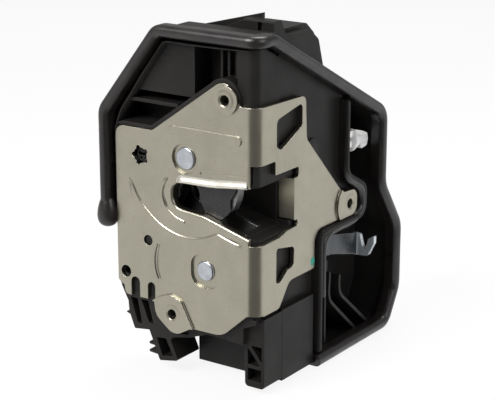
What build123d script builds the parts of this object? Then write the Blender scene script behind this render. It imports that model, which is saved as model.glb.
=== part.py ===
from build123d import *

import os
from math import cos, pi, radians, sin

os.makedirs("parts", exist_ok=True)

# Frame: X points out to the cabin, -Y to the rear of the car and Z up, in millimetres.
# The origin is the centre of the upper rear screw hole, on the seat that meets the door shell.


def rear(y):
    """Plane facing the rear at depth y, where sketch x is X and sketch y is Z."""
    return Plane.XZ.offset(-y)


def side(x):
    """Plane facing the cabin at x, where sketch x is Y and sketch y is Z."""
    return Plane.YZ.offset(x)


def rounded(corners, close=True):
    """Line through corners of (x, y, radius)."""
    FilletPolyline(*[c[:2] for c in corners], radius=[c[2] for c in corners], close=close)


def panel(plane, corners, depth, mode=Mode.ADD):
    """Prism of a rounded outline, going inward from its plane."""
    with BuildSketch(plane) as face:
        with BuildLine():
            rounded(corners)
        make_face()
    extrude(face.sketch, amount=-depth, mode=mode)


def disc(plane, spots, radius, depth, mode=Mode.ADD):
    """Round bosses or holes at spots, going inward from their plane."""
    with BuildSketch(plane) as face:
        with Locations(spots):
            Circle(radius)
    extrude(face.sketch, amount=-depth, mode=mode)


def wall(plane, points, radii, width, depth, mode=Mode.ADD):
    """Wall or groove of even width along an open line, going inward from its plane."""
    with BuildSketch(plane) as face:
        with BuildLine():
            if radii:
                FilletPolyline(*points, radius=radii)
            else:
                Line(*points)
        trace(line_width=width)
    extrude(face.sketch, amount=-depth, mode=mode)


def shifted(spot, dx, dy):
    return (spot[0] + dx, spot[1] + dy)


# Lock plate: zinc plated sheet bent round the rear corner of the door
sheet = 2.2
seat_rise = 1.2
rear_face = seat_rise
side_face = 17.6
bend_radius = 6.0
plate_left = -65.2
plate_top = -2.2
plate_foot = -102.6
plate_end = 88.3
emboss = 1.2
bead_spot = (-12.2, -18.6)
bead_length = 41.5
bead_width = 4.8
bead_rise = 0.6
crease_width = 1.0
crease_depth = 0.5
rear_inner = rear_face + sheet
side_inner = side_face - sheet
bend_end = rear_face + bend_radius

# Fixing screws of the door shell, M6
upper_screw = (0.0, 0.0)
lower_screw = (-31.7, -110.3)
side_screw = (81.4, -65.8)
screw_bore = 2.55
collar_radius = 4.8
collar_depth = 6.0
seat_radius = 6.9

# Pivots of the catch, as (X, Z) on the rear wall
claw_axis = (-23.8, -31.4)
pawl_axis = (-12.7, -85.0)
claw_recess = 7.4
pawl_recess = (16.0, 17.0)
seat_rim = 0.8
seat_corner = 6.5
pin_neck = 3.5

# Locating holes and the star-shaped hole of the key
middle_locator = (-46.3, -75.5)
lower_locator = (-60.3, -93.9)
star_spot = (-50.3, -33.6)
star_radius = 3.9
star_lobe = 1.1

# Striker slot and mouth
slot_end = -31.5
slot_top = -43.6
slot_foot = -56.0
slot_flange = 1.5
slot_roll = 1.3
mouth_left = 12.3
mouth_top = -29.5
mouth_step = -36.3
mouth_foot = -68.1
mouth_end = 32.0
flange_reach = 9.0

# Layers of the catch behind the rear wall
running_gap = 0.05
claw_front = rear_inner + emboss + 0.8
claw_width = 8.0
core_width = 5.0
spring_room = 3.8
back_sheet = 2.0
floor_wall = 2.8
claw_back = claw_front + claw_width
back_front = claw_back + spring_room
back_rear = back_front + back_sheet
latch_depth = back_rear + floor_wall
joint_gap = 0.3
actuator_front = latch_depth + joint_gap
nest_gap = 0.1

# Catch
claw_radius = 35.5
claw_hub = 12.0
chamber_radius = 37.6
claw_bore = 4.55
notch_reach = 18.1
notch_radius = 5.9
pawl_travel = 8.0
pawl_bore = 4.05
pawl_hub = 9.5
pawl_tip = 31.2
coat = 1.5

# Rim and seal
rim_wall = 2.0
rim_left = -70.5
rim_top = 28.4
rim_front = 0.5
rim_side = 18.2
rim_tip = 0.3
seal_width = 6.0
seal_depth = 7.0
seal_nose = 2.8
seal_grip = 0.2
seal_groove = 3.7
bulb_radius = 4.7
bulb_z = -62.0

# Actuator tub
tub_wall = 2.4
tub_back = -30.0
tub_face = 14.5
lower_face = side_face
pocket_floor = -8.0
floor_sheet = 2.5
inner_wall = 3.2
inner_wall_front = 20.0
cover_sheet = 2.2

rear_corners = [
    (plate_left, -20.3, 5), (-43.0, -20.3, 4), (0.8, 10.9, 6.8), (7.6, plate_top, 2),
    (side_face + 2, plate_top, 0), (side_face + 2, plate_foot, 0), (11.8, plate_foot, 3),
    (-2.8, -115.6, 12), (-21.0, -115.7, 3), (-30.5, -121.2, 7), (-41.5, -112.5, 7),
    (-42.4, -105.8, 0.5), (-60.8, -105.8, 2), (-61.6, -101.2, 1.2), (plate_left, -99.3, 2),
]
side_corners = [
    (bend_end - 1, plate_top, 0), (41.4, plate_top - 0.8, 3.5), (42.6, -24.5, 5), (75.6, -58.6, 3),
    (plate_end, -59.4, 5), (plate_end, -72.3, 5), (54.8, -72.4, 5), (50.6, -77.0, 4),
    (51.0, -91.3, 1.5), (28.5, -91.3, 6), (19.5, -103.0, 4), (bend_end - 1, -103.0, 0),
]
slot_corners = [
    (slot_end, slot_top, 5.6), (-8.4, -43.0, 8), (mouth_left + 0.1, -40.6, 0),
    (mouth_left + 0.1, -64.8, 0), (-13.0, -57.7, 12), (slot_end, slot_foot, 5.8),
]
mouth_corners = [
    (-2, mouth_top, 0), (15.9, mouth_top, 1), (15.9, mouth_step, 1), (mouth_end + 3.8, mouth_step, 1.2),
    (mouth_end + 3.8, -41.3, 1.2), (mouth_end, -41.3, 0.5), (mouth_end, -62.2, 0.5),
    (mouth_end + 3.2, -62.2, 1.2), (mouth_end + 3.2, -65.4, 1.2), (27.0, -65.8, 4),
    (20.0, -67.6, 4), (-2, mouth_foot, 0),
]
upper_window = [(38.6, -6.0, 2.2), (38.6, -17.0, 1.5), (20.6, -25.2, 3.5), (16.8, -23.0, 1.8),
    (16.8, -10.2, 3)]
lower_window = [(17.0, -72.3, 1.6), (32.4, -75.2, 2.2), (31.9, -84.9, 2), (27.0, -85.5, 2),
    (20.8, -90.0, 2), (16.8, -89.8, 1.6)]
lower_seat = [
    (-46.0, -107.5, 1), (-40.8, -103.4, 3), (-33.0, -100.2, 6), (-26.2, -103.0, 4),
    (-18.0, -118.5, 1), (-30.0, -126.0, 1), (-46.0, -120.0, 1),
]

with BuildPart() as plate_limits:
    with BuildSketch(rear(-5)):
        with BuildLine():
            rounded(rear_corners)
        make_face()
    extrude(amount=-(5 + bend_end))
    with BuildSketch(side(side_face + 2)):
        with BuildLine():
            rounded(side_corners)
        make_face()
    extrude(amount=-8)

with BuildPart() as lock_plate:
    with BuildSketch(Plane.XY.offset(-125)):
        with BuildLine():
            Polyline(
                (plate_left - 5, rear_face), (side_face, rear_face), (side_face, plate_end + 5),
                (side_inner, plate_end + 5), (side_inner, rear_inner), (plate_left - 5, rear_inner),
                    close=True,
            )
        make_face()
    extrude(amount=145)
    fillet(lock_plate.edges().filter_by(Axis.Z).group_by(Axis.X)[-1].sort_by(Axis.Y)[0], bend_radius)
    inner_bend = lock_plate.edges().filter_by(Axis.Z).filter_by_position(Axis.X, side_inner - 0.1,
        side_inner + 0.1)
    fillet(inner_bend.sort_by(Axis.Y)[0], bend_radius - sheet)
    add(plate_limits.part, mode=Mode.INTERSECT)
    # Raised seats, with the collars that hold the threads
    disc(rear(0), [upper_screw], seat_radius, seat_rise)
    with BuildSketch(rear(0)) as seat:
        with BuildLine():
            rounded(lower_seat)
        make_face()
        with BuildLine():
            rounded(rear_corners)
        make_face(mode=Mode.INTERSECT)
    extrude(seat.sketch, amount=-seat_rise)
    with BuildSketch(side(side_face + seat_rise)) as tab_seat:
        with Locations(side_screw):
            Circle(11.0)
        with BuildLine():
            rounded(side_corners)
        make_face(mode=Mode.INTERSECT)
    extrude(tab_seat.sketch, amount=-seat_rise)
    disc(rear(rear_inner), [upper_screw, lower_screw], collar_radius, collar_depth)
    disc(side(side_inner), [side_screw], collar_radius, collar_depth)
    disc(rear(0), [upper_screw, lower_screw], screw_bore, rear_inner + collar_depth, Mode.SUBTRACT)
    disc(side(side_face + seat_rise), [side_screw], screw_bore, sheet + seat_rise + collar_depth,
        Mode.SUBTRACT)
    # Dished seats of the two pivot pins
    disc(rear(rear_inner), [claw_axis], claw_recess + seat_rim, emboss)
    disc(rear(rear_face), [claw_axis], claw_recess, emboss, Mode.SUBTRACT)
    for margin, face, mode in ((seat_rim, rear_inner, Mode.ADD), (0, rear_face, Mode.SUBTRACT)):
        with BuildSketch(rear(face)) as dish:
            with Locations(pawl_axis):
                RectangleRounded(pawl_recess[0] + 2 * margin, pawl_recess[1] + 2 * margin, seat_corner)
        extrude(dish.sketch, amount=-emboss, mode=mode)
    disc(rear(rear_face), [claw_axis, pawl_axis], pin_neck, sheet + emboss, Mode.SUBTRACT)
    # Striker slot with its rolled edge, and the mouth round the bend
    with BuildSketch(rear(rear_inner)) as lip:
        with BuildLine():
            rounded([(slot_end - 1.6, slot_top + 1.6, 7), (9.0, -39.0, 0), (9.0, -65.6, 0),
                (slot_end - 1.6, slot_foot - 1.6, 7)])
        make_face()
    extrude(lip.sketch, amount=-slot_flange)
    panel(rear(rear_face), slot_corners, sheet + slot_flange, Mode.SUBTRACT)
    slot_edge = lock_plate.edges().filter_by_position(Axis.Y, rear_face - 0.01, rear_face + 0.01)
    slot_edge = slot_edge.filter_by_position(Axis.X, slot_end - 0.1, mouth_left - 2)
    slot_edge = slot_edge.filter_by_position(Axis.Z, slot_foot - 8, slot_top + 4)
    fillet(slot_edge, slot_roll)
    panel(side(side_face + 1), mouth_corners, side_face + 1 - mouth_left, Mode.SUBTRACT)
    with BuildSketch(Plane.XY.offset(-61.9)) as flange:
        with Locations((side_face - flange_reach / 2, mouth_end + sheet / 2)):
            Rectangle(flange_reach, sheet)
        fillet(flange.vertices().group_by(Axis.X)[-1].sort_by(Axis.Y)[0], sheet - 0.1)
    extrude(flange.sketch, amount=20.3)
    # Windows, locating holes and the two slots of the foot
    panel(side(side_face), upper_window, sheet, Mode.SUBTRACT)
    panel(side(side_face), lower_window, sheet, Mode.SUBTRACT)
    disc(rear(rear_face), [middle_locator], 2.6, sheet, Mode.SUBTRACT)
    disc(rear(rear_face), [lower_locator], 3.0, sheet, Mode.SUBTRACT)
    with BuildSketch(rear(rear_face)) as star:
        with Locations(star_spot):
            Circle(star_radius)
            with PolarLocations(star_radius, 5, start_angle=36):
                Circle(star_lobe)
    extrude(star.sketch, amount=-sheet, mode=Mode.SUBTRACT)
    for centre, top, width in ((-54.6, -98.5, 5.4), (-44.8, -99.1, 4.6)):
        with BuildSketch(rear(rear_face)) as notch:
            with Locations((centre, top - 12 + width / 2)):
                SlotOverall(24, width, rotation=90)
        extrude(notch.sketch, amount=-sheet, mode=Mode.SUBTRACT)
    # Pressed bead and creases
    with BuildSketch(rear(rear_face - bead_rise)) as bead:
        with Locations(bead_spot):
            SlotOverall(bead_length, bead_width)
    extrude(bead.sketch, amount=-bead_rise)
    creases = (
        [(-57.0, -45.9), (-47.7, -66.5), (-18.5, -72.5), (-5.8, -65.1), (9.2, -68.3)],
        [(-14.9, -37.0), (11.6, -33.9)],
        [(-34.1, -42.2), (-37.6, -49.6), (-34.3, -56.9)],
        [(-40.2, -76.3), (-43.4, -85.5), (-40.3, -94.1)],
    )
    crease_bends = ([16, 18, 4], [], [8], [20])
    for points, bends in zip(creases, crease_bends):
        wall(rear(rear_face), points, bends, crease_width, crease_depth, Mode.SUBTRACT)
lock_plate.part.label = "lock_plate"
export_step(lock_plate.part, "parts/lock_plate.step")

# Latch housing: moulded body behind the rear wall, with the chamber of the catch
with BuildSketch(rear(rear_inner)) as plate_face:
    with BuildLine():
        rounded(rear_corners)
    make_face()

chamber_corners = [
    (-36.0, -20.6, 4), (-14.0, -14.4, 3), (12.4, -14.4, 6), (12.4, -52.0, 8), (0.5, -76.0, 4),
    (0.5, -90.0, 8), (-14.0, -98.0, 6), (-36.5, -96.5, 4), (-40.6, -93.0, 3), (-40.6, -76.0, 3),
    (-44.4, -72.8, 1.5), (-52.4, -71.0, 2), (-54.8, -62.0, 3),
]
chamber_left = 167.0
channel_depth = 31.0
pocket_wall = 2.5
pocket_top = -24.0
pocket_bottom = -74.0
pocket_left = -39.0
column_left = 5.0
column_top = 24.0
tray_floor = back_rear + 0.3
lip_width = 1.8
lip_gap = 0.3
body_left = -65.6
body_right = side_inner - 0.2
corner_radius = bend_radius - sheet + 0.4
foot_front = 4.0
block_front = 7.0
block_left = 6.5
block_top = -105.0
block_bottom = -140.6
cam_axis = star_spot
peg_spot = (-46.3, -75.5)
buffer_size = (4.4, 7.4, 11.0)


def polar(radius, angle):
    """Point about the claw pin, with the angle clockwise from +X as seen from the rear."""
    return (claw_axis[0] + radius * cos(radians(angle)), claw_axis[1] - radius * sin(radians(angle)))


with BuildSketch(rear(rear_inner)) as chamber:
    with BuildLine():
        Line(claw_axis, polar(chamber_radius, -12))
        ThreePointArc(
            polar(chamber_radius, -12), polar(chamber_radius, chamber_left / 2),
                polar(chamber_radius, chamber_left)
        )
        Line(polar(chamber_radius, chamber_left), claw_axis)
    make_face()
    with Locations(claw_axis):
        Circle(claw_hub + 1.2)
    with BuildLine():
        rounded(chamber_corners)
    make_face()
    with Locations(((body_left + body_right) / 2 + 0.2, -55)):
        Rectangle(body_right - body_left - 4.4, 120, mode=Mode.INTERSECT)

rim_way = [(rim_left, -66.0), (rim_left, -13.6), (-37.8, rim_top), (rim_side - rim_tip, rim_top)]
rim_slope = (52.6 / 100.5)
rim_knee = 10.7


def rim_height(y):
    """Height of the rim where it runs down along the cabin side."""
    return rim_top - max(0, y - rim_knee) * rim_slope


with BuildPart() as latch_housing:
    with BuildSketch(rear(rear_inner)) as body:
        add(plate_face.sketch_local)
        offset(amount=lip_width + lip_gap)
        with Locations(((body_left + body_right) / 2, -50)):
            Rectangle(body_right - body_left, 160, mode=Mode.INTERSECT)
    extrude(body.sketch, amount=-(latch_depth - rear_inner))
    # Lip that follows the top of the plate
    with BuildSketch(rear(rear_face + 0.5)) as lip:
        add(body.sketch_local)
        offset(plate_face.sketch_local, amount=lip_gap, mode=Mode.SUBTRACT)
        with Locations((-30, -70)):
            Rectangle(90, 100, mode=Mode.SUBTRACT)
        with Locations((12, 0)):
            Rectangle(9, 200, mode=Mode.SUBTRACT)
    extrude(lip.sketch, amount=-(rear_inner - rear_face - 0.5 + 1))
    # Corner column beside the plate and the tray of the top
    with BuildSketch(side(column_left)) as column:
        with BuildLine():
            Polyline(
                (rear_inner, -8), (rear_inner, column_top), (rim_knee, column_top),
                (latch_depth, rim_height(latch_depth) + column_top - rim_top), (latch_depth, -8), close=True,
            )
        make_face()
    extrude(column.sketch, amount=body_right - column_left)
    panel(
        rear(tray_floor),
        [(rim_left, -66, 0), (rim_left, -13.6, 8), (-37.8, rim_top, 6), (13.6, rim_top, 0), (13.6, -20, 0),
            (-40, -66, 0)],
        latch_depth - tray_floor,
    )
    panel(rear(6.0), [(-21.0, 22.2, 0), (-39.2, 22.2, 4), (-57.0, -2.6, 2), (-21.0, -2.6, 0)],
        tray_floor - 6.0)
    wall(rear(4.6), [(-60.5, -7.4), (-30.0, -7.4)], None, 1.6, tray_floor - 4.6)
    panel(rear(12.0), [(-10.0, 22.2, 0), (5.0, 22.2, 0), (5.0, -4.0, 0), (-10.0, -10.0, 0)],
        tray_floor - 12.0)
    for rib in (-7.4, -3.4, 1.0):
        wall(rear(8.6), [(rib, 21.0), (rib, -4.0)], None, 1.2, 4)
    # Rim that carries the seal
    wall(rear(rim_front + rim_tip), rim_way, [8, 6], rim_wall, latch_depth - rim_front - rim_tip)
    with BuildSketch(side(side_face - 4)) as above:
        with BuildLine():
            Polyline((rim_knee, rim_top - rim_wall), (rim_knee, 40), (latch_depth, 40),
                     (latch_depth, rim_height(latch_depth) - rim_wall), close=True)
        make_face()
    extrude(above.sketch, amount=8, mode=Mode.SUBTRACT)
    with BuildSketch(side(body_right - 3.2)) as side_rim:
        with BuildLine():
            FilletPolyline(
                (rim_front + 6, rim_top), (rim_knee, rim_top), (latch_depth + 4, rim_height(latch_depth + 4)),
                radius=[8],
            )
        trace(line_width=rim_wall)
        with Locations((latch_depth + 5, rim_top - 5)):
            Rectangle(10, 20, mode=Mode.SUBTRACT)
    extrude(side_rim.sketch, amount=rim_side - rim_tip - body_right + 3.2)
    with BuildSketch(Plane.XY.offset(rim_top - 3)) as rim_corner:
        with Locations((rim_side + 2, rim_front - 2)):
            Rectangle(14, 14)
        with Locations((rim_side - 5, rim_front + 5)):
            Circle(5 - rim_tip, mode=Mode.SUBTRACT)
            with Locations((0, 10)):
                Rectangle(2 * (5 - rim_tip), 20, mode=Mode.SUBTRACT)
            with Locations((-10, 0)):
                Rectangle(20, 2 * (5 - rim_tip), mode=Mode.SUBTRACT)
    extrude(rim_corner.sketch, amount=6, mode=Mode.SUBTRACT)
    # Foot: slanted ribs on the left, box below, block at the corner
    panel(rear(foot_front), [
        (body_left, -96.0, 0), (body_left, -103.0, 1), (-61.6, -110.6, 1), (-61.2, -115.4, 0.5),
            (-63.2, -116.6, 0.3),
        (-60.6, -117.6, 0.5), (-57.9, -124.4, 1), (-48.8, -123.2, 0), (-42.5, -138.0, 1), (-31.3, -135.9, 1),
        (-36.5, -124.4, 2), (-24.0, -122.0, 4), (-12.4, -117.6, 3), (block_left + 1, -118.8, 0),
            (block_left + 1, -100, 0),
    ], latch_depth - foot_front)
    for top, bottom in (((-58.4, -107.0), (-54.6, -121.4)), ((-51.8, -107.2), (-47.6, -120.0))):
        with BuildSketch(rear(foot_front)) as bay:
            with BuildLine():
                rounded([
                    (top[0] - 2.2, top[1], 0.6), (top[0] + 2.4, top[1], 0.6),
                    (bottom[0] + 1.6, bottom[1], 0.6), (bottom[0] - 1.4, bottom[1] + 0.6, 0.6),
                ])
            make_face()
        extrude(bay.sketch, amount=-9, mode=Mode.SUBTRACT)
    for height in (-130.4, -134.6):
        wall(rear(foot_front + 1), [(-49.6, height), (-42.0, height - 0.6)], None, 1.2, 6)
    panel(rear(foot_front), [(-44.4, -126.2, 0.5), (-38.6, -125.6, 0.5), (-34.2, -134.2, 0.5),
        (-41.0, -135.4, 0.5)], 10, Mode.SUBTRACT)
    panel(rear(block_front), [
        (block_left, block_top - 3, 0), (side_face, block_top, 0), (side_face, block_bottom, 2),
            (block_left, block_bottom, 2)
    ], latch_depth - block_front)
    panel(rear(rear_inner), [
        (block_left - 3, -100, 0), (body_right, -100, 0), (body_right, block_top - 2, 0),
            (block_left - 3, -112, 0)
    ], latch_depth - rear_inner)
    for corners in (
        [(8.0, -120.4, 0.4), (8.0, -129.4, 0.4), (15.6, -129.4, 0.4)],
        [(9.6, -119.4, 0.4), (16.2, -119.4, 0.4), (16.2, -127.6, 0.4)],
        [(8.0, -131.0, 0.4), (16.0, -131.0, 0.4), (16.0, -137.4, 0.4), (8.0, -137.4, 0.4)],
    ):
        panel(rear(block_front), corners, 6, Mode.SUBTRACT)
    # Corner that follows the inside of the bend
    with BuildSketch(Plane.XY.offset(block_top)) as bend_room:
        with Locations((body_right, rear_inner)):
            Rectangle(2 * corner_radius, 2 * corner_radius)
        with Locations((body_right - corner_radius, rear_inner + corner_radius)):
            Circle(corner_radius, mode=Mode.SUBTRACT)
    extrude(bend_room.sketch, amount=column_top + 1 - block_top, mode=Mode.SUBTRACT)
    # Striker pocket behind the chamber
    with BuildSketch(rear(latch_depth)) as bulge:
        with BuildLine():
            rounded([
                (pocket_left, pocket_top, 5), (body_right, pocket_top, 0),
                (body_right, pocket_bottom, 0), (pocket_left, pocket_bottom, 5),
            ])
        make_face()
    extrude(bulge.sketch, amount=-(channel_depth + pocket_wall - latch_depth))
    fillet(latch_housing.faces().sort_by(Axis.Y)[-1].edges().group_by(Axis.X)[0], 2)
    # Chamber, striker channel and the seats inside
    extrude(chamber.sketch, amount=-(back_rear - rear_inner), mode=Mode.SUBTRACT)
    with BuildSketch(rear(rear_inner - 1)) as channel:
        with BuildLine():
            rounded(slot_corners)
        make_face()
        offset(amount=0.4)
        with BuildLine():
            Polyline((10, slot_top + 2.6), (20, slot_top + 4), (20, -67), (10, -65), close=True)
        make_face()
    extrude(channel.sketch, amount=-(channel_depth - rear_inner + 1), mode=Mode.SUBTRACT)
    panel(rear(channel_depth - 1), [
        (side_face - flange_reach - 0.4, -41.0, 0), (side_face, -41.0, 0), (side_face, -62.5, 0),
        (side_face - flange_reach - 0.4, -62.5, 0)
    ], 8, Mode.SUBTRACT)
    panel(rear(latch_depth + 0.6), [
        (slot_end - buffer_size[0], -49.8 + buffer_size[2] / 2, 0.8),
            (slot_end + 4, -49.8 + buffer_size[2] / 2, 0),
        (slot_end + 4, -49.8 - buffer_size[2] / 2, 0),
            (slot_end - buffer_size[0], -49.8 - buffer_size[2] / 2, 0.8),
    ], buffer_size[1] + 0.4, Mode.SUBTRACT)
    disc(rear(back_rear), [claw_axis, pawl_axis], 4.6, 1.2, Mode.SUBTRACT)
    disc(rear(rear_inner), [cam_axis], 6.3, back_front - 0.2 - rear_inner, Mode.SUBTRACT)
    disc(rear(rear_inner), [cam_axis], 3.05, latch_depth - rear_inner, Mode.SUBTRACT)
    disc(rear(rear_inner), [lower_screw, upper_screw], collar_radius + 0.2, collar_depth + 0.2, Mode.SUBTRACT)
    disc(rear(rear_inner), [lower_screw, upper_screw], 3.4, 14, Mode.SUBTRACT)
    disc(rear(rear_inner), [(-60.3, -93.9)], 2.4, 10, Mode.SUBTRACT)
    disc(rear(rear_face + 1), [peg_spot], 2.2, rear_inner - rear_face)
    with BuildSketch(rear(rear_inner)) as dish_room:
        with Locations(claw_axis):
            Circle(claw_recess + 1.2)
        with Locations(pawl_axis):
            RectangleRounded(pawl_recess[0] + 2.6, pawl_recess[1] + 2.6, 7)
    extrude(dish_room.sketch, amount=-(emboss + 0.2), mode=Mode.SUBTRACT)
    with BuildSketch(rear(rear_inner)) as lip_room:
        with BuildLine():
            rounded([(slot_end - 2.0, slot_top + 2.0, 7), (10.0, -38.4, 0), (10.0, -66.2, 0),
                (slot_end - 2.0, slot_foot - 2.0, 7)])
        make_face()
    extrude(lip_room.sketch, amount=-(slot_flange + 0.2), mode=Mode.SUBTRACT)
latch_housing.part.label = "latch_housing"
export_step(latch_housing.part, "parts/latch_housing.step")

# Seal: soft rim in one length, pushed over the edge of the housings
seal_way = [
    (rim_left, rim_front, bulb_z), (rim_left, rim_front, -13.6), (-37.8, rim_front, rim_top),
    (rim_side, rim_front, rim_top), (rim_side, rim_knee, rim_top), (rim_side, 111.2, -24.2),
    (rim_side, 111.2, -63.0), (rim_side, 128.3, -88.0), (rim_side, 128.3, -122.5),
    (rim_side, 118.0, -140.0), (rim_side, 51.0, -140.0),
]
with BuildPart() as seal:
    with BuildLine() as seal_line:
        FilletPolyline(*seal_way, radius=[8, 6, 5, 8, 9, 14, 12, 13, 8])
    with BuildSketch(Plane.XY.offset(bulb_z)) as seal_section:
        with Locations((rim_left, rim_front)):
            Rectangle(seal_width, seal_depth)
        fillet(seal_section.vertices().group_by(Axis.Y)[0], seal_nose)
        with Locations((rim_left, rim_front + (seal_depth - seal_groove) / 2 + 0.05)):
            Rectangle(rim_wall + 2 * seal_grip, seal_groove + 0.1, mode=Mode.SUBTRACT)
    sweep(path=seal_line.wire())
    with BuildSketch(Plane.XZ.offset(-rim_front - 0.2)) as bulb:
        with BuildLine():
            Spline((rim_left, -72.4), (rim_left + bulb_radius, bulb_z), (rim_left, -49.0), tangents=[(1, 0),
                (-0.25, 1)])
            Line((rim_left, -49.0), (rim_left, -72.4))
        make_face()
    revolve(bulb.sketch, axis=Axis((rim_left, rim_front + 0.2, 0), (0, 0, 1)))
    with Locations((rim_left, rim_front + rim_tip - 0.45 + 5, -66.3 + 10)):
        Box(rim_wall + 2 * seal_grip, 10, 20, mode=Mode.SUBTRACT)
seal.part.label = "seal"
export_step(seal.part, "parts/seal.step")

# Striker buffer: rubber block at the end of the slot
with BuildPart() as striker_buffer:
    with BuildSketch(rear(latch_depth + 0.8)) as buffer:
        with Locations((slot_end - buffer_size[0] / 2 + 0.1, -49.8)):
            Rectangle(buffer_size[0] - 0.4, buffer_size[2] - 0.4)
        with Locations((slot_end - 0.1, -49.8)):
            Ellipse(1.6, buffer_size[2] / 2 - 0.2)
    extrude(buffer.sketch, amount=-buffer_size[1])
    with BuildSketch(rear(latch_depth + 0.8)) as relief:
        with Locations((slot_end - buffer_size[0] / 2 + 0.6, -49.8)):
            SlotOverall(6.0, 1.6, rotation=90)
    extrude(relief.sketch, amount=-buffer_size[1], mode=Mode.SUBTRACT)
striker_buffer.part.label = "striker_buffer"
export_step(striker_buffer.part, "parts/striker_buffer.step")

# Back plate: steel sheet on the chamber floor that carries the far ends of the pins
pin_tail = 3.0
with BuildPart() as back_plate:
    with BuildSketch(rear(back_front)) as back:
        add(chamber.sketch_local)
        offset(amount=-nest_gap)
        with BuildLine():
            rounded(slot_corners)
        make_face(mode=Mode.SUBTRACT)
        with Locations((20, -51.5)):
            Rectangle(24, 24.6, mode=Mode.SUBTRACT)
        with Locations(claw_axis, pawl_axis):
            Circle(pin_tail + 0.02, mode=Mode.SUBTRACT)
    extrude(back.sketch, amount=-back_sheet)
back_plate.part.label = "back_plate"
export_step(back_plate.part, "parts/back_plate.step")

# Claw, drawn latched: steel core in a plastic coat, with two teeth on its rim
tooth = 126.0
rim_low = 30.5
tooth_step = 31.5
coat_reach = 29.0
with BuildSketch(rear(claw_front)) as claw_outline:
    with BuildLine():
        Line(claw_axis, polar(29.0, 24))
        ThreePointArc(polar(29.0, 24), polar(32.8, 48), polar(32.0, 70))
        Line(polar(32.0, 70), polar(notch_reach, 76))
        Line(polar(notch_reach, 76), polar(notch_reach, 106))
        Line(polar(notch_reach, 106), polar(rim_low, 112))
        ThreePointArc(polar(rim_low, 112), polar(rim_low, 119), polar(rim_low, tooth))
        Line(polar(rim_low, tooth), polar(claw_radius, tooth))
        ThreePointArc(polar(claw_radius, tooth), polar(claw_radius, tooth + 4.5),
            polar(claw_radius, tooth + 9))
        Line(polar(claw_radius, tooth + 9), polar(tooth_step, tooth + 16))
        Line(polar(tooth_step, tooth + 16), polar(tooth_step, tooth + 18))
        Line(polar(tooth_step, tooth + 18), polar(claw_radius, tooth + 18))
        ThreePointArc(
            polar(claw_radius, tooth + 18), polar(claw_radius, tooth + 23), polar(claw_radius, tooth + 28)
        )
        Line(polar(claw_radius, tooth + 28), polar(28.0, tooth + 34))
        Line(polar(28.0, tooth + 34), polar(claw_hub - 1, tooth + 38))
        Line(polar(claw_hub - 1, tooth + 38), claw_axis)
    make_face()
    with Locations(claw_axis):
        Circle(claw_hub)
    with Locations(polar(notch_reach, 91)):
        Circle(notch_radius, mode=Mode.SUBTRACT)
core_front = claw_front + (claw_width - core_width) / 2


def claw_rim(front, depth, mode=Mode.ADD):
    """Toothed stretch of the rim, where the steel is bare."""
    with BuildSketch(rear(front)) as bare:
        add(claw_outline.sketch_local)
        with Locations(claw_axis):
            Circle(coat_reach, mode=Mode.SUBTRACT)
        with Locations(polar(15, 60)):
            Rectangle(31, 60, mode=Mode.SUBTRACT)
    extrude(bare.sketch, amount=-depth, mode=mode)


with BuildPart() as claw_core:
    with BuildSketch(rear(core_front)) as core_face:
        add(claw_outline.sketch_local)
        offset(amount=-coat)
    extrude(core_face.sketch, amount=-core_width)
    claw_rim(core_front, core_width)
    disc(rear(core_front), [claw_axis], claw_bore, core_width, Mode.SUBTRACT)
claw_core.part.label = "claw_core"
export_step(claw_core.part, "parts/claw_core.step")

with BuildPart() as claw_coat:
    extrude(claw_outline.sketch, amount=-claw_width)
    claw_rim(claw_front, claw_width, Mode.SUBTRACT)
    disc(rear(claw_front), [claw_axis], claw_bore, claw_width, Mode.SUBTRACT)
    add(claw_core.part, mode=Mode.SUBTRACT)
claw_coat.part.label = "claw_coat"
export_step(claw_coat.part, "parts/claw_coat.step")


def about(centre, point, angle):
    """Point turned about a centre, anticlockwise as seen from the rear."""
    x = point[0] - centre[0]
    z = point[1] - centre[1]
    turn = radians(angle)
    return (centre[0] + x * cos(turn) - z * sin(turn), centre[1] + x * sin(turn) + z * cos(turn))


def lifted(x, z, radius):
    """Corner of the pawl, drawn engaged and turned to where it stands released."""
    return (*about(pawl_axis, (x, z), pawl_travel), radius)


# Pawl: drops behind the teeth of the claw; drawn released, so that the claw turns freely
tip_face = tooth - 1.1
tip_low = polar(pawl_tip, tip_face)
tip_high = polar(39.5, tip_face)
tip_back = polar(32.3, 112.0)
with BuildPart() as pawl:
    with BuildSketch(rear(claw_front + 0.2)) as pawl_face:
        with BuildLine():
            rounded([
                lifted(*tip_low, 0.5), lifted(*tip_back, 0.8), lifted(*polar(37.0, 108), 2),
                    lifted(*polar(38.0, 86), 8),
                lifted(-6.0, -78.0, 4),
                lifted(-10.0, -92.0, 4), lifted(-20.0, -90.6, 3), lifted(-35.6, -89.0, 1.5),
                lifted(-36.0, -84.0, 1.5), lifted(-31.0, -76.5, 4), lifted(*tip_high, 1),
            ])
        make_face()
        with Locations(pawl_axis):
            Circle(pawl_hub)
            Circle(pawl_bore, mode=Mode.SUBTRACT)
    extrude(pawl_face.sketch, amount=-(claw_width - 0.4))
    # Seat of the damper pad
    damper_spot = about(pawl_axis, (-33.4, -71.4), pawl_travel)
    disc(rear(claw_front + 0.2), [damper_spot], 2.2, claw_width - 0.4, Mode.SUBTRACT)
pawl.part.label = "pawl"
export_step(pawl.part, "parts/pawl.step")

with BuildPart() as pawl_damper:
    disc(rear(claw_front + 0.2), [damper_spot], 2.2, claw_width - 0.4)
    disc(rear(claw_front + 0.2), [damper_spot], 1.0, claw_width - 0.4, Mode.SUBTRACT)
pawl_damper.part.label = "pawl_damper"
export_step(pawl_damper.part, "parts/pawl_damper.step")


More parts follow.
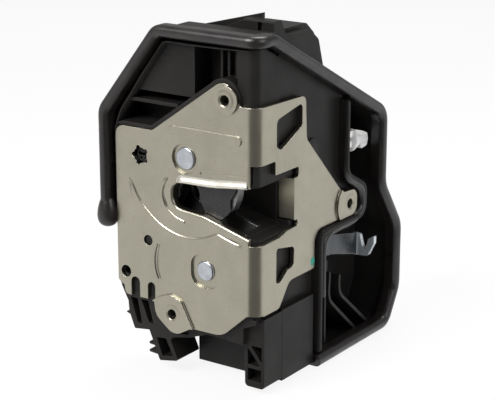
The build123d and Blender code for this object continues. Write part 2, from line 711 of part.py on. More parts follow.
def pivot_pin(axis, shank, head):
    """Stepped pin, riveted in the rear wall and in the back plate."""
    disc(rear(rear_face + 0.1), [axis], head, emboss - 0.1)
    fillet(edges().filter_by(GeomType.CIRCLE).group_by(Axis.Y)[0], emboss - 0.2)
    disc(rear(rear_face + emboss), [axis], pin_neck, sheet)
    disc(rear(rear_inner + emboss), [axis], shank, back_front - rear_inner - emboss)
    disc(rear(back_front), [axis], pin_tail, back_sheet)
    disc(rear(back_rear), [axis], pin_tail + 1.2, 0.9)


with BuildPart() as claw_pin:
    pivot_pin(claw_axis, claw_bore - running_gap, 5.5)
claw_pin.part.label = "claw_pin"
export_step(claw_pin.part, "parts/claw_pin.step")

with BuildPart() as pawl_pin:
    pivot_pin(pawl_axis, pawl_bore - running_gap, 5.0)
    with BuildSketch(rear(rear_face + 0.1)) as flat:
        with Locations(pawl_axis):
            Circle(5.0)
            RectangleRounded(8.4, 10.0, 1.2, mode=Mode.SUBTRACT)
    extrude(flat.sketch, amount=-0.7, mode=Mode.SUBTRACT)
pawl_pin.part.label = "pawl_pin"
export_step(pawl_pin.part, "parts/pawl_pin.step")


def coil_spring(axis, coil, wire, turns, start):
    """Coil of a torsion spring round a pivot pin, from depth start."""
    pitch = wire * 1.15
    seat = Plane(origin=(axis[0], start, axis[1]), x_dir=(1, 0, 0), z_dir=(0, 1, 0))
    way = seat * Helix(pitch, pitch * turns, coil, mode=Mode.PRIVATE)
    with BuildSketch(Plane(origin=way @ 0, z_dir=way % 0)) as section:
        Circle(wire / 2)
    sweep(section.sketch, path=Wire(way.edges()), is_frenet=True)


with BuildPart() as claw_spring:
    coil_spring(claw_axis, 5.8, 1.2, 1.5, claw_back + 0.8)
claw_spring.part.label = "claw_spring"
export_step(claw_spring.part, "parts/claw_spring.step")

with BuildPart() as pawl_spring:
    coil_spring(pawl_axis, 5.2, 1.1, 1.5, claw_back + 0.8)
pawl_spring.part.label = "pawl_spring"
export_step(pawl_spring.part, "parts/pawl_spring.step")

# Key cam behind the star shaped hole, with the crank pressed on its far end
cam_tail = latch_depth + 3.0
with BuildPart() as key_cam:
    disc(rear(rear_inner + 0.4), [cam_axis], 3.8, back_front - 3.2 - rear_inner)
    disc(rear(back_front - 3.3), [cam_axis], 6.0, 3.0)
    disc(rear(back_front - 0.3), [cam_axis], 3.0, cam_tail - back_front + 0.3)
    with BuildSketch(rear(rear_inner + 0.4)) as key_slot:
        with Locations(cam_axis):
            Rectangle(5.4, 1.6)
            with PolarLocations(2.4, 5, start_angle=90):
                Circle(0.7)
    extrude(key_slot.sketch, amount=-5, mode=Mode.SUBTRACT)
key_cam.part.label = "key_cam"
export_step(key_cam.part, "parts/key_cam.step")

with BuildPart() as key_crank:
    with BuildSketch(rear(latch_depth + 0.4)) as crank:
        with Locations(cam_axis):
            Circle(6.5)
        with Locations((cam_axis[0] - 6.0, cam_axis[1] - 15.0)):
            Circle(3.6)
        with BuildLine():
            Polyline(
                shifted(cam_axis, -6.3, -1.6), shifted(cam_axis, -9.4, -14.0),
                shifted(cam_axis, -2.6, -16.2), shifted(cam_axis, 6.3, -1.8), close=True,
            )
        make_face()
        with Locations(cam_axis):
            Circle(3.0, mode=Mode.SUBTRACT)
        with Locations((cam_axis[0] - 6.0, cam_axis[1] - 15.0)):
            Circle(1.6, mode=Mode.SUBTRACT)
    extrude(crank.sketch, amount=-2.4)
key_crank.part.label = "key_crank"
export_step(key_crank.part, "parts/key_crank.step")

# Actuator housing: tub on the cabin side with the pocket of the levers
tub_bottom = -140.0
shell_out = rim_wall / 2
notch_back = channel_depth + pocket_wall + 1.1 + shell_out
box_left = -14.0
box_right = 12.0
box_front = actuator_front
dish_corners = [
    (actuator_front, rim_height(actuator_front), 0), (111.2, -24.2, 9), (111.2, -63.0, 14),
        (128.3, -88.0, 12),
    (128.3, -122.5, 13), (118.0, tub_bottom, 8), (actuator_front, tub_bottom, 0),
    (actuator_front, pocket_bottom - 2, 0), (notch_back, pocket_bottom - 2, 0),
    (notch_back, pocket_top + 2, 0), (actuator_front, pocket_top + 2, 0),
]
tub_side = [
    (0, 60, 0), (79.2, 60, 0), (79.2, -49.0, 6.6), (96.8, -58.5, 7.6), (96.8, -76.1, 7.6), (55.6, -76.1, 3.4),
    (55.6, -160, 0), (0, -160, 0),
]
lower_step = -104.6
foot_clear = tub_bottom - 6.4
lower_back = 50.0

# Levers in the pocket, as (Y, Z)
lever_axis = (63.0, -85.0)
lever_back = 7.5
lever_sheet = 2.5
lever_pin_radius = 3.0
knob_axis = (85.2, -36.0)
knob_back = 9.0
knob_thick = 3.4
knob_pin_radius = 2.2
guide_height = 14.6
foot_boss = 8.0
screw_spots = [(28.0, 8.0), (104.0, -32.0), (121.6, -100.0), (28.0, tub_bottom + foot_boss),
    (112.0, tub_bottom + foot_boss - 0.5)]
deep_screws = [screw_spots[0], screw_spots[3]]
stop_spot = (51.4, -31.5)
stop_face = side_inner - 0.2
stop_radius = 5.0
boss_radius = 3.6
screw_radius = 1.4

# Drive in the tub, as (Y, Z)
wheel_module = 1.0
wheel_teeth = 28
worm_pitch_radius = 3.3
worm_x = -12.0
worm_y = 42.5
wheel_z = -56.0
wheel_width = 4.0
pinion_teeth = 9
pinion_pitch_radius = 5.6
pinion_width = 6.0
sector_radius = 4 * pinion_pitch_radius
sector_width = 4.0
axle_radius = 2.0
sector_pin_radius = 2.5
wheel_room = 0.3
wheel_pitch_radius = wheel_module * wheel_teeth / 2
wheel_axis = (worm_y + worm_pitch_radius + wheel_pitch_radius, wheel_z)
sector_axis = (wheel_axis[0], wheel_z + pinion_pitch_radius + sector_radius)
wheel_front = worm_x + wheel_width / 2 + pinion_width
sector_front = wheel_front - 1.0

with BuildSketch(side(tub_back)) as dish:
    with BuildLine():
        rounded(dish_corners)
    make_face()
with BuildSketch(side(tub_back)) as dish_outer:
    add(dish.sketch_local)
    offset(amount=shell_out)
    with Locations((actuator_front - 20, -60)):
        Rectangle(40, 220, mode=Mode.SUBTRACT)
with BuildSketch(side(tub_back)) as tub_region:
    with BuildLine():
        rounded(tub_side)
    make_face()
with BuildSketch(side(tub_back)) as tub_inside:
    add(dish.sketch_local)
    offset(amount=shell_out - tub_wall)


with BuildPart() as actuator_housing:
    extrude(dish_outer.sketch, amount=rim_side - rim_tip - tub_back)
    # Face below the rim, with the flush block of the foot left standing
    with BuildSketch(side(tub_face)) as face_room:
        add(dish.sketch_local)
        offset(amount=-shell_out)
        with BuildLine():
            Polyline(
                (actuator_front - 5, lower_step), (actuator_front + 4, lower_step),
                (actuator_front + 4, rim_height(actuator_front + 4) - 1.2),
                (actuator_front - 5, rim_height(actuator_front - 5) - 1.2), close=True,
            )
        make_face()
        with Locations((actuator_front + 8, (pocket_top + pocket_bottom) / 2)):
            Rectangle(30, pocket_top - pocket_bottom + 12)
        with Locations(((lower_back + actuator_front) / 2 - 1, (lower_step + foot_clear) / 2)):
            Rectangle(lower_back - actuator_front + 2, lower_step - foot_clear, mode=Mode.SUBTRACT)
    extrude(face_room.sketch, amount=10, mode=Mode.SUBTRACT)
    with BuildSketch(side(lower_face)) as flush:
        with Locations((actuator_front + 14, (lower_step + 1 + foot_clear) / 2)):
            Rectangle(80, lower_step + 1 - foot_clear)
    extrude(flush.sketch, amount=4, mode=Mode.SUBTRACT)
    # Pocket of the levers
    with BuildSketch(side(pocket_floor + floor_sheet)) as pocket:
        add(dish.sketch_local)
        offset(amount=-shell_out)
        add(tub_region.sketch_local, mode=Mode.SUBTRACT)
    extrude(pocket.sketch, amount=30, mode=Mode.SUBTRACT)
    # Inside of the tub, open to the cover
    extrude(tub_inside.sketch, amount=pocket_floor - tub_back, mode=Mode.SUBTRACT)
    with BuildSketch(side(tub_back)) as deep:
        add(tub_region.sketch_local)
        offset(amount=-inner_wall)
        add(tub_inside.sketch_local, mode=Mode.INTERSECT)
    extrude(deep.sketch, amount=tub_face - tub_wall - tub_back, mode=Mode.SUBTRACT)
    # Lip of the wall between tub and pocket
    with BuildSketch(side(tub_face - 1)) as lip_wall:
        add(tub_region.sketch_local)
        offset(tub_region.sketch_local, amount=-inner_wall, mode=Mode.SUBTRACT)
        with Locations((80, -74.0)):
            Rectangle(60, 124, mode=Mode.INTERSECT)
    extrude(lip_wall.sketch, amount=inner_wall_front - tub_face + 1)
    fillet(actuator_housing.faces().filter_by_position(Axis.X, inner_wall_front - 0.1,
        inner_wall_front + 0.1).edges(), 1.2)
    # Box on top of the tub
    box_profile = [
        (box_front, 14.0, 0), (box_front, 34.0, 1), (28.6, 34.0, 2), (31.4, 28.2, 2), (56.0, 28.2, 4),
        (63.4, 22.0, 4), (69.0, -2.0, 0), (60.0, -2.0, 0),
    ]
    with BuildSketch(side(box_left)) as box_high:
        with BuildLine():
            rounded(box_profile)
        make_face()
    extrude(box_high.sketch, amount=box_right - 4 - box_left)
    with BuildSketch(side(box_left)) as box_low:
        with BuildLine():
            rounded([
                (box_front, 14.0, 0), (box_front, 34.0, 1), (28.6, 34.0, 2), (32.5, 25.9, 2), (53.0, 25.9, 4),
                (61.0, 20.0, 4), (67.9, -2.0, 0), (60.0, -2.0, 0),
            ])
        make_face()
    extrude(box_low.sketch, amount=box_right - box_left)
    with BuildSketch(rear(box_front - 1)) as box_corner:
        with BuildLine():
            Polyline((box_left - 1, 29.2), (box_left - 1, 40), (-4.5, 40), (-4.5, 33.7), close=True)
        make_face()
    extrude(box_corner.sketch, amount=-50, mode=Mode.SUBTRACT)
    wall(rear(box_front), [(4.4, 20), (4.4, 33)], None, 2.6, 2.0, Mode.SUBTRACT)
    # Round stop beside the slanted edge of the plate
    disc(side(stop_face), [stop_spot], stop_radius, stop_face - tub_face + tub_wall)
    # Fin behind the front of the box
    with BuildSketch(rear(27.0)) as fin:
        with BuildLine():
            Polyline(
                (-44.6, 24.4), (2.6, 36.6), (2.6, 26.0), (-13.0, 12.0), (tub_back + 2.5, 12.0),
                (tub_back + 2.5, 22.2), (-44.6, 22.2), close=True,
            )
        make_face()
    extrude(fin.sketch, amount=-2.0)
    # Boss of the side screw, posts of the drive and the cable guides
    disc(side(tub_face - tub_wall), [side_screw], collar_radius + 2.6, collar_depth + 1.0)
    disc(side(tub_face), [side_screw], collar_radius + 0.3, tub_face - side_inner + collar_depth + 0.6,
        Mode.SUBTRACT)
    disc(side(tub_face), [side_screw], 3.4, tub_wall + collar_depth, Mode.SUBTRACT)
    with BuildSketch(side(side_inner - 0.2)) as flange_room:
        with Locations((mouth_end + 1.1, -51.7)):
            Rectangle(7.4, 22)
    extrude(flange_room.sketch, amount=-12, mode=Mode.SUBTRACT)
    # Posts of the levers and of the drive
    disc(side(lever_back - 0.4), [lever_axis], 5.0, lever_back - 0.4 - pocket_floor - floor_sheet)
    disc(side(lever_back - 0.4), [lever_axis], lever_pin_radius, 12, Mode.SUBTRACT)
    disc(side(knob_back - 0.4), [knob_axis], 4.4, knob_back - 0.4 - pocket_floor - floor_sheet)
    disc(side(knob_back - 0.4), [knob_axis], knob_pin_radius, 12, Mode.SUBTRACT)
    disc(side(tub_face - tub_wall), [wheel_axis], 4.0, tub_face - tub_wall - wheel_front - wheel_room)
    disc(side(tub_face - tub_wall), [wheel_axis], axle_radius,
        tub_face - tub_wall - wheel_front - wheel_room, Mode.SUBTRACT)
    disc(side(tub_face - tub_wall), [sector_axis], 4.0, tub_face - tub_wall - sector_front - 0.4)
    disc(side(tub_face - tub_wall), [sector_axis], sector_pin_radius,
        tub_face - tub_wall - sector_front - 0.4, Mode.SUBTRACT)
    disc(side(tub_back), screw_spots, boss_radius, tub_back - pocket_floor - 0.5)
    disc(side(tub_back), deep_screws, boss_radius, tub_back - tub_face + tub_wall - 0.5)
    disc(side(tub_back), screw_spots, screw_radius, -14, Mode.SUBTRACT)
    # Guides of the two cables on the pocket floor, low where the lever passes over them
    for way in (
        [(70.8, -95.0), (69.4, -114.1), (95.5, -137.4)],
        [(80.5, -98.0), (79.1, -113.2), (108.6, -138.0)],
    ):
        wall(side(guide_height), way, [10], 1.6, guide_height - pocket_floor - floor_sheet)
    panel(side(guide_height + 1), [
        (66, -90, 0), (84, -90, 0), (84, -105.5, 0), (66, -98.0, 0)
    ], guide_height + 1 - lever_back + 1.0, Mode.SUBTRACT)
    wall(side(guide_height), [(66.0, -108.0), (66.0, -136.0)], None, 1.4,
        guide_height - pocket_floor - floor_sheet)
actuator_housing.part.label = "actuator_housing"
export_step(actuator_housing.part, "parts/actuator_housing.step")

# Rear cover of the tub, with the wells of the outer lever and of the connector
cover_gap = 0.2
outer_axis = (46.0, -112.0)
outer_pin_radius = 3.0
connector_spot = (54.0, -14.0)
connector_size = (26.0, 12.0)
connector_reach = 16.0
cover_face = tub_back - cover_sheet
with BuildPart() as rear_cover:
    with BuildSketch(side(tub_back)) as cover:
        add(dish_outer.sketch_local)
    extrude(cover.sketch, amount=-cover_sheet)
    fillet(rear_cover.faces().sort_by(Axis.X)[0].outer_wire().edges(), 0.8)
    # Locating rim inside the wall of the tub
    with BuildSketch(side(tub_back)) as locating:
        add(tub_inside.sketch_local)
        offset(amount=-cover_gap)
        offset(tub_inside.sketch_local, amount=-cover_gap - 1.4, mode=Mode.SUBTRACT)
        with Locations(screw_spots):
            Circle(boss_radius + 0.4, mode=Mode.SUBTRACT)
    extrude(locating.sketch, amount=2.0)
    disc(side(cover_face), [outer_axis], 7.0, -1.6)
    disc(side(cover_face - 2), [outer_axis], outer_pin_radius, -14, Mode.SUBTRACT)
    disc(side(cover_face - 2), screw_spots, screw_radius + 0.2, -14, Mode.SUBTRACT)
    # Posts that carry the inner ends of the axles
    disc(side(tub_back), [wheel_axis], 4.0, tub_back - worm_x + wheel_width / 2 + wheel_room)
    disc(side(tub_back), [sector_axis], 4.0, tub_back - sector_front + sector_width + wheel_room)
    disc(side(tub_back), [wheel_axis], axle_radius, -18, Mode.SUBTRACT)
    disc(side(tub_back), [sector_axis], sector_pin_radius, -30, Mode.SUBTRACT)
    with BuildSketch(side(cover_face - 1)) as socket_hole:
        with Locations(connector_spot):
            RectangleRounded(connector_size[0] - 4, connector_size[1] - 4, 2)
    extrude(socket_hole.sketch, amount=8, mode=Mode.SUBTRACT)
rear_cover.part.label = "rear_cover"
export_step(rear_cover.part, "parts/rear_cover.step")


def shaft(plane, spot, radius, length, head, head_thickness):
    """Plain pin with a flat head, going inward from its plane."""
    disc(plane, [spot], head, head_thickness)
    disc(plane, [spot], radius, length + head_thickness)


# Inner release lever: steel arm in the pocket, with a bent hook for its cable
hook_y = 104.0
with BuildPart() as inner_release_lever:
    with BuildSketch(side(lever_back)) as lever_arm:
        with Locations(lever_axis):
            Circle(7.0)
        with BuildLine():
            rounded([
                (63.0, -78.2, 1), (73.5, -82.2, 8), (hook_y + lever_sheet, -89.2, 0.5),
                (hook_y + lever_sheet, -100.9, 0.5), (78.6, -93.4, 6), (62.0, -91.9, 1),
            ])
        make_face()
        with Locations(lever_axis):
            Circle(lever_pin_radius + running_gap, mode=Mode.SUBTRACT)
    extrude(lever_arm.sketch, amount=lever_sheet)
    panel(rear(hook_y), [
        (lever_back, -89.2, 0), (lever_back + lever_sheet + 1.4, -89.2, 1), (13.2, -95.9, 0.8),
            (15.2, -95.9, 0.8),
        (16.6, -91.0, 1.5), (20.0, -88.9, 0.5), (20.0, -92.9, 1.5), (16.3, -100.4, 2),
            (lever_back, -100.9, 0),
    ], lever_sheet)
inner_release_lever.part.label = "inner_release_lever"
export_step(inner_release_lever.part, "parts/inner_release_lever.step")

pin_head = 1.2
with BuildPart() as inner_lever_pin:
    shaft(side(lever_back + lever_sheet + 0.3 + pin_head), lever_axis, lever_pin_radius, 14.0, 5.0, pin_head)
inner_lever_pin.part.label = "inner_lever_pin"
export_step(inner_lever_pin.part, "parts/inner_lever_pin.step")

# Lock knob lever: white lever whose ball end takes the rod of the knob
with BuildPart() as lock_knob_lever:
    with BuildSketch(side(knob_back)) as knob_arm:
        with Locations(knob_axis):
            Circle(5.2)
        with BuildLine():
            rounded([
                (85.2, -31.6, 0), (97.5, -32.2, 3), (103.0, -33.8, 2), (108.0, -35.8, 1.5), (109.0, -39.2, 2),
                (107.8, -42.4, 1.5), (102.2, -43.0, 0.6), (101.4, -40.8, 0.5), (97.5, -40.2, 2),
                    (85.2, -40.4, 0),
            ])
        make_face()
        with Locations(knob_axis):
            Circle(knob_pin_radius + running_gap, mode=Mode.SUBTRACT)
        with Locations((104.6, -38.2)):
            Circle(1.5, mode=Mode.SUBTRACT)
        with Locations((94.0, -36.2)):
            SlotOverall(7.0, 2.2, mode=Mode.SUBTRACT)
    extrude(knob_arm.sketch, amount=knob_thick)
lock_knob_lever.part.label = "lock_knob_lever"
export_step(lock_knob_lever.part, "parts/lock_knob_lever.step")

with BuildPart() as knob_lever_pin:
    shaft(side(knob_back + knob_thick + 0.3 + 0.9), knob_axis, knob_pin_radius, 14.0, 3.6, 0.9)
knob_lever_pin.part.label = "knob_lever_pin"
export_step(knob_lever_pin.part, "parts/knob_lever_pin.step")

# Outer release lever on the cover, worked by the cable of the outer handle
outer_back = cover_face - 1.6 - 0.3
outer_sheet = 2.4
with BuildPart() as outer_release_lever:
    with BuildSketch(side(outer_back)) as outer_arm:
        with Locations(outer_axis):
            Circle(7.0)
        with BuildLine():
            rounded([
                (*shifted(outer_axis, -4.0, 5.4), 1), (*shifted(outer_axis, 16.0, 22.0), 3),
                (*shifted(outer_axis, 25.0, 17.0), 3), (*shifted(outer_axis, 6.6, -2.0), 1),
            ])
        make_face()
        with Locations(outer_axis):
            Circle(outer_pin_radius + running_gap, mode=Mode.SUBTRACT)
        with Locations(shifted(outer_axis, 17.5, 16.4)):
            SlotOverall(6.5, 3.2, rotation=40, mode=Mode.SUBTRACT)
    extrude(outer_arm.sketch, amount=-outer_sheet)
outer_release_lever.part.label = "outer_release_lever"
export_step(outer_release_lever.part, "parts/outer_release_lever.step")

with BuildPart() as outer_lever_pin:
    disc(side(outer_back - outer_sheet - 0.3), [outer_axis], 5.0, pin_head)
    disc(side(tub_back), [outer_axis], outer_pin_radius, tub_back - outer_back + outer_sheet + 0.3)
    disc(side(tub_back + 1.0), [outer_axis], 4.4, 1.0)
outer_lever_pin.part.label = "outer_lever_pin"
export_step(outer_lever_pin.part, "parts/outer_lever_pin.step")

# Motor: flattened can with its front bearing under the worm
motor_top = -80.0
motor_length = 32.0
motor_size = (20.0, 19.0)
shaft_radius = 1.0
worm_root = 2.1
worm_low = -63.0
with BuildPart() as motor:
    with BuildSketch(Plane.XY.offset(motor_top - motor_length)):
        with Locations((worm_x, worm_y)):
            Circle(motor_size[0] / 2 + 1.6)
            Rectangle(*motor_size, mode=Mode.INTERSECT)
    extrude(amount=motor_length)
    fillet(motor.edges().group_by(Axis.Z)[0], 1.5)
    for base, radius, height in ((motor_top, 4.0, 2.4), (motor_top - motor_length - 1.6, 3.4, 1.6)):
        with BuildSketch(Plane.XY.offset(base)):
            with Locations((worm_x, worm_y)):
                Circle(radius)
        extrude(amount=height)
    with BuildSketch(Plane.XY.offset(motor_top + 2.4)) as shaft_hole:
        with Locations((worm_x, worm_y)):
            Circle(shaft_radius + running_gap)
    extrude(shaft_hole.sketch, amount=-8, mode=Mode.SUBTRACT)
motor.part.label = "motor"
export_step(motor.part, "parts/motor.step")

# Worm on its shaft, with a single right-hand thread
worm_lead = pi * wheel_module
worm_turns = 3
thread_start = wheel_z - worm_lead * worm_turns / 2
with BuildPart() as worm:
    for base, radius, height in ((motor_top - 4.0, shaft_radius, 30.0), (worm_low, worm_root, 14.0)):
        with BuildSketch(Plane.XY.offset(base)) as round_bar:
            with Locations((worm_x, worm_y)):
                Circle(radius)
        extrude(round_bar.sketch, amount=height)
    thread_seat = Plane(origin=(worm_x, worm_y, thread_start), x_dir=(0, 1, 0), z_dir=(0, 0, 1))
    thread_way = thread_seat * Helix(worm_lead, worm_lead * worm_turns, worm_root, mode=Mode.PRIVATE)
    with BuildSketch(Plane(origin=thread_way @ 0, x_dir=(0, 1, 0), z_dir=thread_way % 0)) as thread:
        with BuildLine():
            Polyline((-0.3, -0.75), (-0.3, 0.75), (2.0, 0.38), (2.0, -0.38), close=True)
        make_face()
    sweep(thread.sketch, path=Wire(thread_way.edges()), is_frenet=True)
worm.part.label = "worm"
export_step(worm.part, "parts/worm.step")


# Worm wheel with its pinion, on one axle
pinion_module = 2 * pinion_pitch_radius / pinion_teeth
with BuildPart() as worm_wheel:
    with BuildSketch(side(worm_x - wheel_width / 2)) as wheel_face:
        with Locations(wheel_axis):
            Circle(wheel_pitch_radius - wheel_module)
            with PolarLocations(wheel_pitch_radius, wheel_teeth, start_angle=180):
                Trapezoid(1.6, 2.2 * wheel_module, 78, rotation=-90)
            with PolarLocations(9.0, 6):
                Circle(1.8, mode=Mode.SUBTRACT)
    extrude(wheel_face.sketch, amount=wheel_width)
    with BuildSketch(side(worm_x + wheel_width / 2)) as pinion_face:
        with Locations(wheel_axis):
            Circle(pinion_pitch_radius - pinion_module + 0.05)
            with PolarLocations(pinion_pitch_radius, pinion_teeth, start_angle=90):
                Trapezoid(2.1, 2.6, 76, rotation=-90)
    extrude(pinion_face.sketch, amount=pinion_width)
    disc(side(wheel_front), [wheel_axis], axle_radius + running_gap, wheel_width + pinion_width,
        Mode.SUBTRACT)
worm_wheel.part.label = "worm_wheel"
export_step(worm_wheel.part, "parts/worm_wheel.step")

with BuildPart() as wheel_axle:
    disc(side(wheel_front + 8), [wheel_axis], axle_radius, 28)
wheel_axle.part.label = "wheel_axle"
export_step(wheel_axle.part, "parts/wheel_axle.step")

# Lock lever: toothed sector worked by the pinion, with a fork that works the locking levers
with BuildPart() as lock_lever:
    with BuildSketch(side(sector_front)) as sector:
        with Locations(sector_axis):
            Circle(6.0)
        with BuildLine():
            sector_edge = Line(sector_axis, shifted(sector_axis, -9.6, -18.4))
            ThreePointArc(sector_edge @ 1, shifted(sector_axis, 3.6, -20.4),
                shifted(sector_axis, 15.0, -14.4))
            Line(shifted(sector_axis, 15.0, -14.4), sector_axis)
        make_face()
        with Locations(sector_axis):
            with PolarLocations(sector_radius - 0.4, 6, start_angle=-105, angular_range=60):
                Trapezoid(2.2, 2.8, 76, rotation=-90)
        with BuildLine():
            rounded([
                (*shifted(sector_axis, -3.0, 4.0), 0), (*shifted(sector_axis, 10.0, 9.0), 1),
                (*shifted(sector_axis, 12.4, 4.6), 1), (*shifted(sector_axis, 4.0, -3.0), 0),
            ])
        make_face()
        with Locations(sector_axis):
            Circle(sector_pin_radius + running_gap, mode=Mode.SUBTRACT)
    extrude(sector.sketch, amount=-sector_width)
lock_lever.part.label = "lock_lever"
export_step(lock_lever.part, "parts/lock_lever.step")

with BuildPart() as lock_lever_pin:
    disc(side(sector_front + 6), [sector_axis], sector_pin_radius, sector_width + 10)
lock_lever_pin.part.label = "lock_lever_pin"
export_step(lock_lever_pin.part, "parts/lock_lever_pin.step")

# Microswitch that reads the lock lever
with BuildPart() as lock_microswitch:
    with BuildSketch(side(-19.0)) as switch_face:
        with Locations((69.6, -33.0)):
            RectangleRounded(6.0, 10.0, 0.6)
    extrude(switch_face.sketch, amount=8.0)
    with BuildSketch(side(-11.0)) as plunger:
        with Locations((69.6, -31.0)):
            Circle(0.9)
    extrude(plunger.sketch, amount=1.0)
    with BuildSketch(side(cover_face + cover_sheet + 0.1)) as switch_foot:
        with Locations((69.6, -33.0)):
            Rectangle(3.6, 8.0)
    extrude(switch_foot.sketch, amount=-19.0 - tub_back - 0.1)
lock_microswitch.part.label = "lock_microswitch"
export_step(lock_microswitch.part, "parts/lock_microswitch.step")

# Contact grid: stamped tracks from the connector to the motor and the switch
with BuildPart() as contact_grid:
    for track in (
        [(46.0, -12.0), (46.0, -72.0), (40.0, -78.0), (40.0, -96.0)],
        [(49.5, -12.0), (49.5, -70.0), (45.0, -82.0), (45.0, -96.0)],
        [(53.0, -12.0), (53.0, -40.0), (66.4, -41.4), (66.6, -48.0)],
    ):
        wall(side(tub_back + 0.7), track, [2, 2], 1.8, 0.6)
contact_grid.part.label = "contact_grid"
export_step(contact_grid.part, "parts/contact_grid.step")

# Connector on the cover: socket shell and its row of blades
blade_gap = 3.5
blade_count = 6
with BuildPart() as connector_shell:
    with BuildSketch(side(cover_face)) as shell_face:
        with Locations(connector_spot):
            RectangleRounded(*connector_size, 3)
    extrude(shell_face.sketch, amount=-connector_reach)
    with BuildSketch(side(cover_face - connector_reach)) as shell_room:
        with Locations(connector_spot):
            RectangleRounded(connector_size[0] - 3.2, connector_size[1] - 3.2, 1.6)
    extrude(shell_room.sketch, amount=connector_reach - 2.4, mode=Mode.SUBTRACT)
    with BuildSketch(side(cover_face)) as plug_face:
        with Locations(connector_spot):
            RectangleRounded(connector_size[0] - 4.2, connector_size[1] - 4.2, 1.9)
    extrude(plug_face.sketch, amount=cover_sheet)
    with BuildSketch(side(cover_face - connector_reach)) as catch_face:
        with Locations(shifted(connector_spot, 0, connector_size[1] / 2 + 0.8)):
            Rectangle(7.0, 1.8)
    extrude(catch_face.sketch, amount=connector_reach - 4)
    with BuildSketch(side(tub_back)) as blade_holes:
        with Locations(connector_spot):
            with GridLocations(blade_gap, 1, blade_count, 1):
                Rectangle(0.6, 2.2)
    extrude(blade_holes.sketch, amount=-12, mode=Mode.SUBTRACT)
connector_shell.part.label = "connector_shell"
export_step(connector_shell.part, "parts/connector_shell.step")

with BuildPart() as connector_blades:
    with BuildSketch(side(tub_back)) as blade_faces:
        with Locations(connector_spot):
            with GridLocations(blade_gap, 1, blade_count, 1):
                Rectangle(0.6, 2.2)
    extrude(blade_faces.sketch, amount=-(cover_sheet + connector_reach - 5))
connector_blades.part.label = "connector_blades"
export_step(connector_blades.part, "parts/connector_blades.step")

# Screws of the cover
with BuildPart() as cover_screws:
    for spot in screw_spots:
        disc(side(cover_face), [spot], screw_radius - 0.05, -12.0)
        disc(side(cover_face), [spot], 2.8, 1.6)
        with BuildSketch(side(cover_face - 1.6)) as drive:
            with Locations(spot):
                RegularPolygon(1.3, 6)
        extrude(drive.sketch, amount=1.0, mode=Mode.SUBTRACT)
cover_screws.part.label = "cover_screws"
export_step(cover_screws.part, "parts/cover_screws.step")
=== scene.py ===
import math

import bmesh
import bpy
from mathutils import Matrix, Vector


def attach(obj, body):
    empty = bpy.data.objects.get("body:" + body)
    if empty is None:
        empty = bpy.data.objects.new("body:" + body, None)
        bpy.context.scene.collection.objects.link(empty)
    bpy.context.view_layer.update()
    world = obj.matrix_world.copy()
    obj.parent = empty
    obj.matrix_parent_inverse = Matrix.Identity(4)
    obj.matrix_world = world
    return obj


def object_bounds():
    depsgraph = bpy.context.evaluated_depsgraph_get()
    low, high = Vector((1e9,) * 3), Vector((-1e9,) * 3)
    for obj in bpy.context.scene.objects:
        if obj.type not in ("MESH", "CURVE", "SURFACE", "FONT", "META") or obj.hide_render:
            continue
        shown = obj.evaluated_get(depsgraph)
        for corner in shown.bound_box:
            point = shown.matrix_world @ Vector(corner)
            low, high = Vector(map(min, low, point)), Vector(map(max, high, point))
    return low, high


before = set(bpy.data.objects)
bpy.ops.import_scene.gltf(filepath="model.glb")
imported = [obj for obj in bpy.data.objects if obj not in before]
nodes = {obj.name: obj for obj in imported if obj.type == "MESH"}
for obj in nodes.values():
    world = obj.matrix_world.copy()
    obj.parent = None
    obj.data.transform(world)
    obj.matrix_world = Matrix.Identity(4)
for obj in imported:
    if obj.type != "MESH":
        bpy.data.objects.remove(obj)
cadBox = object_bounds()
mm = 0.001
print("frame loaded,", len(nodes), "CAD nodes")


# Shader building blocks, shared by the finishes below

def startMaterial(name, colour, roughness, metallic=0.0):
    mat = bpy.data.materials.new(name)
    mat.use_nodes = True
    shader = mat.node_tree.nodes["Principled BSDF"]
    shader.inputs["Base Color"].default_value = (*colour, 1)
    shader.inputs["Roughness"].default_value = roughness
    shader.inputs["Metallic"].default_value = metallic
    return mat, shader


def noiseOf(mat, scale, detail, stretch=(1, 1, 1), roughness=0.5):
    # noise in metres of the object, stretched where a finish has a direction
    tree = mat.node_tree
    place = tree.nodes.new("ShaderNodeTexCoord")
    mapping = tree.nodes.new("ShaderNodeMapping")
    mapping.inputs["Scale"].default_value = stretch
    noise = tree.nodes.new("ShaderNodeTexNoise")
    noise.inputs["Scale"].default_value = scale
    noise.inputs["Detail"].default_value = detail
    noise.inputs["Roughness"].default_value = roughness
    tree.links.new(place.outputs["Object"], mapping.inputs["Vector"])
    tree.links.new(mapping.outputs["Vector"], noise.inputs["Vector"])
    return noise.outputs["Fac"]


def rangeOf(mat, value, low, high, fromLow=0.3, fromHigh=0.7):
    tree = mat.node_tree
    node = tree.nodes.new("ShaderNodeMapRange")
    node.inputs["From Min"].default_value = fromLow
    node.inputs["From Max"].default_value = fromHigh
    node.inputs["To Min"].default_value = low
    node.inputs["To Max"].default_value = high
    tree.links.new(value, node.inputs["Value"])
    return node.outputs["Result"]


def mixOf(mat, factor, first, second):
    # first and second are colours or sockets
    tree = mat.node_tree
    node = tree.nodes.new("ShaderNodeMix")
    node.data_type = "RGBA"
    tree.links.new(factor, node.inputs["Factor"])
    for socket, colour in ((node.inputs[6], first), (node.inputs[7], second)):
        if isinstance(colour, tuple):
            socket.default_value = (*colour, 1)
        else:
            tree.links.new(colour, socket)
    return node.outputs[2]


def mathOf(tree, operation, first, second):
    # first and second are numbers or sockets
    node = tree.nodes.new("ShaderNodeMath")
    node.operation = operation
    for socket, value in zip(node.inputs, (first, second)):
        if isinstance(value, (int, float)):
            socket.default_value = value
        else:
            tree.links.new(value, socket)
    return node.outputs[0]


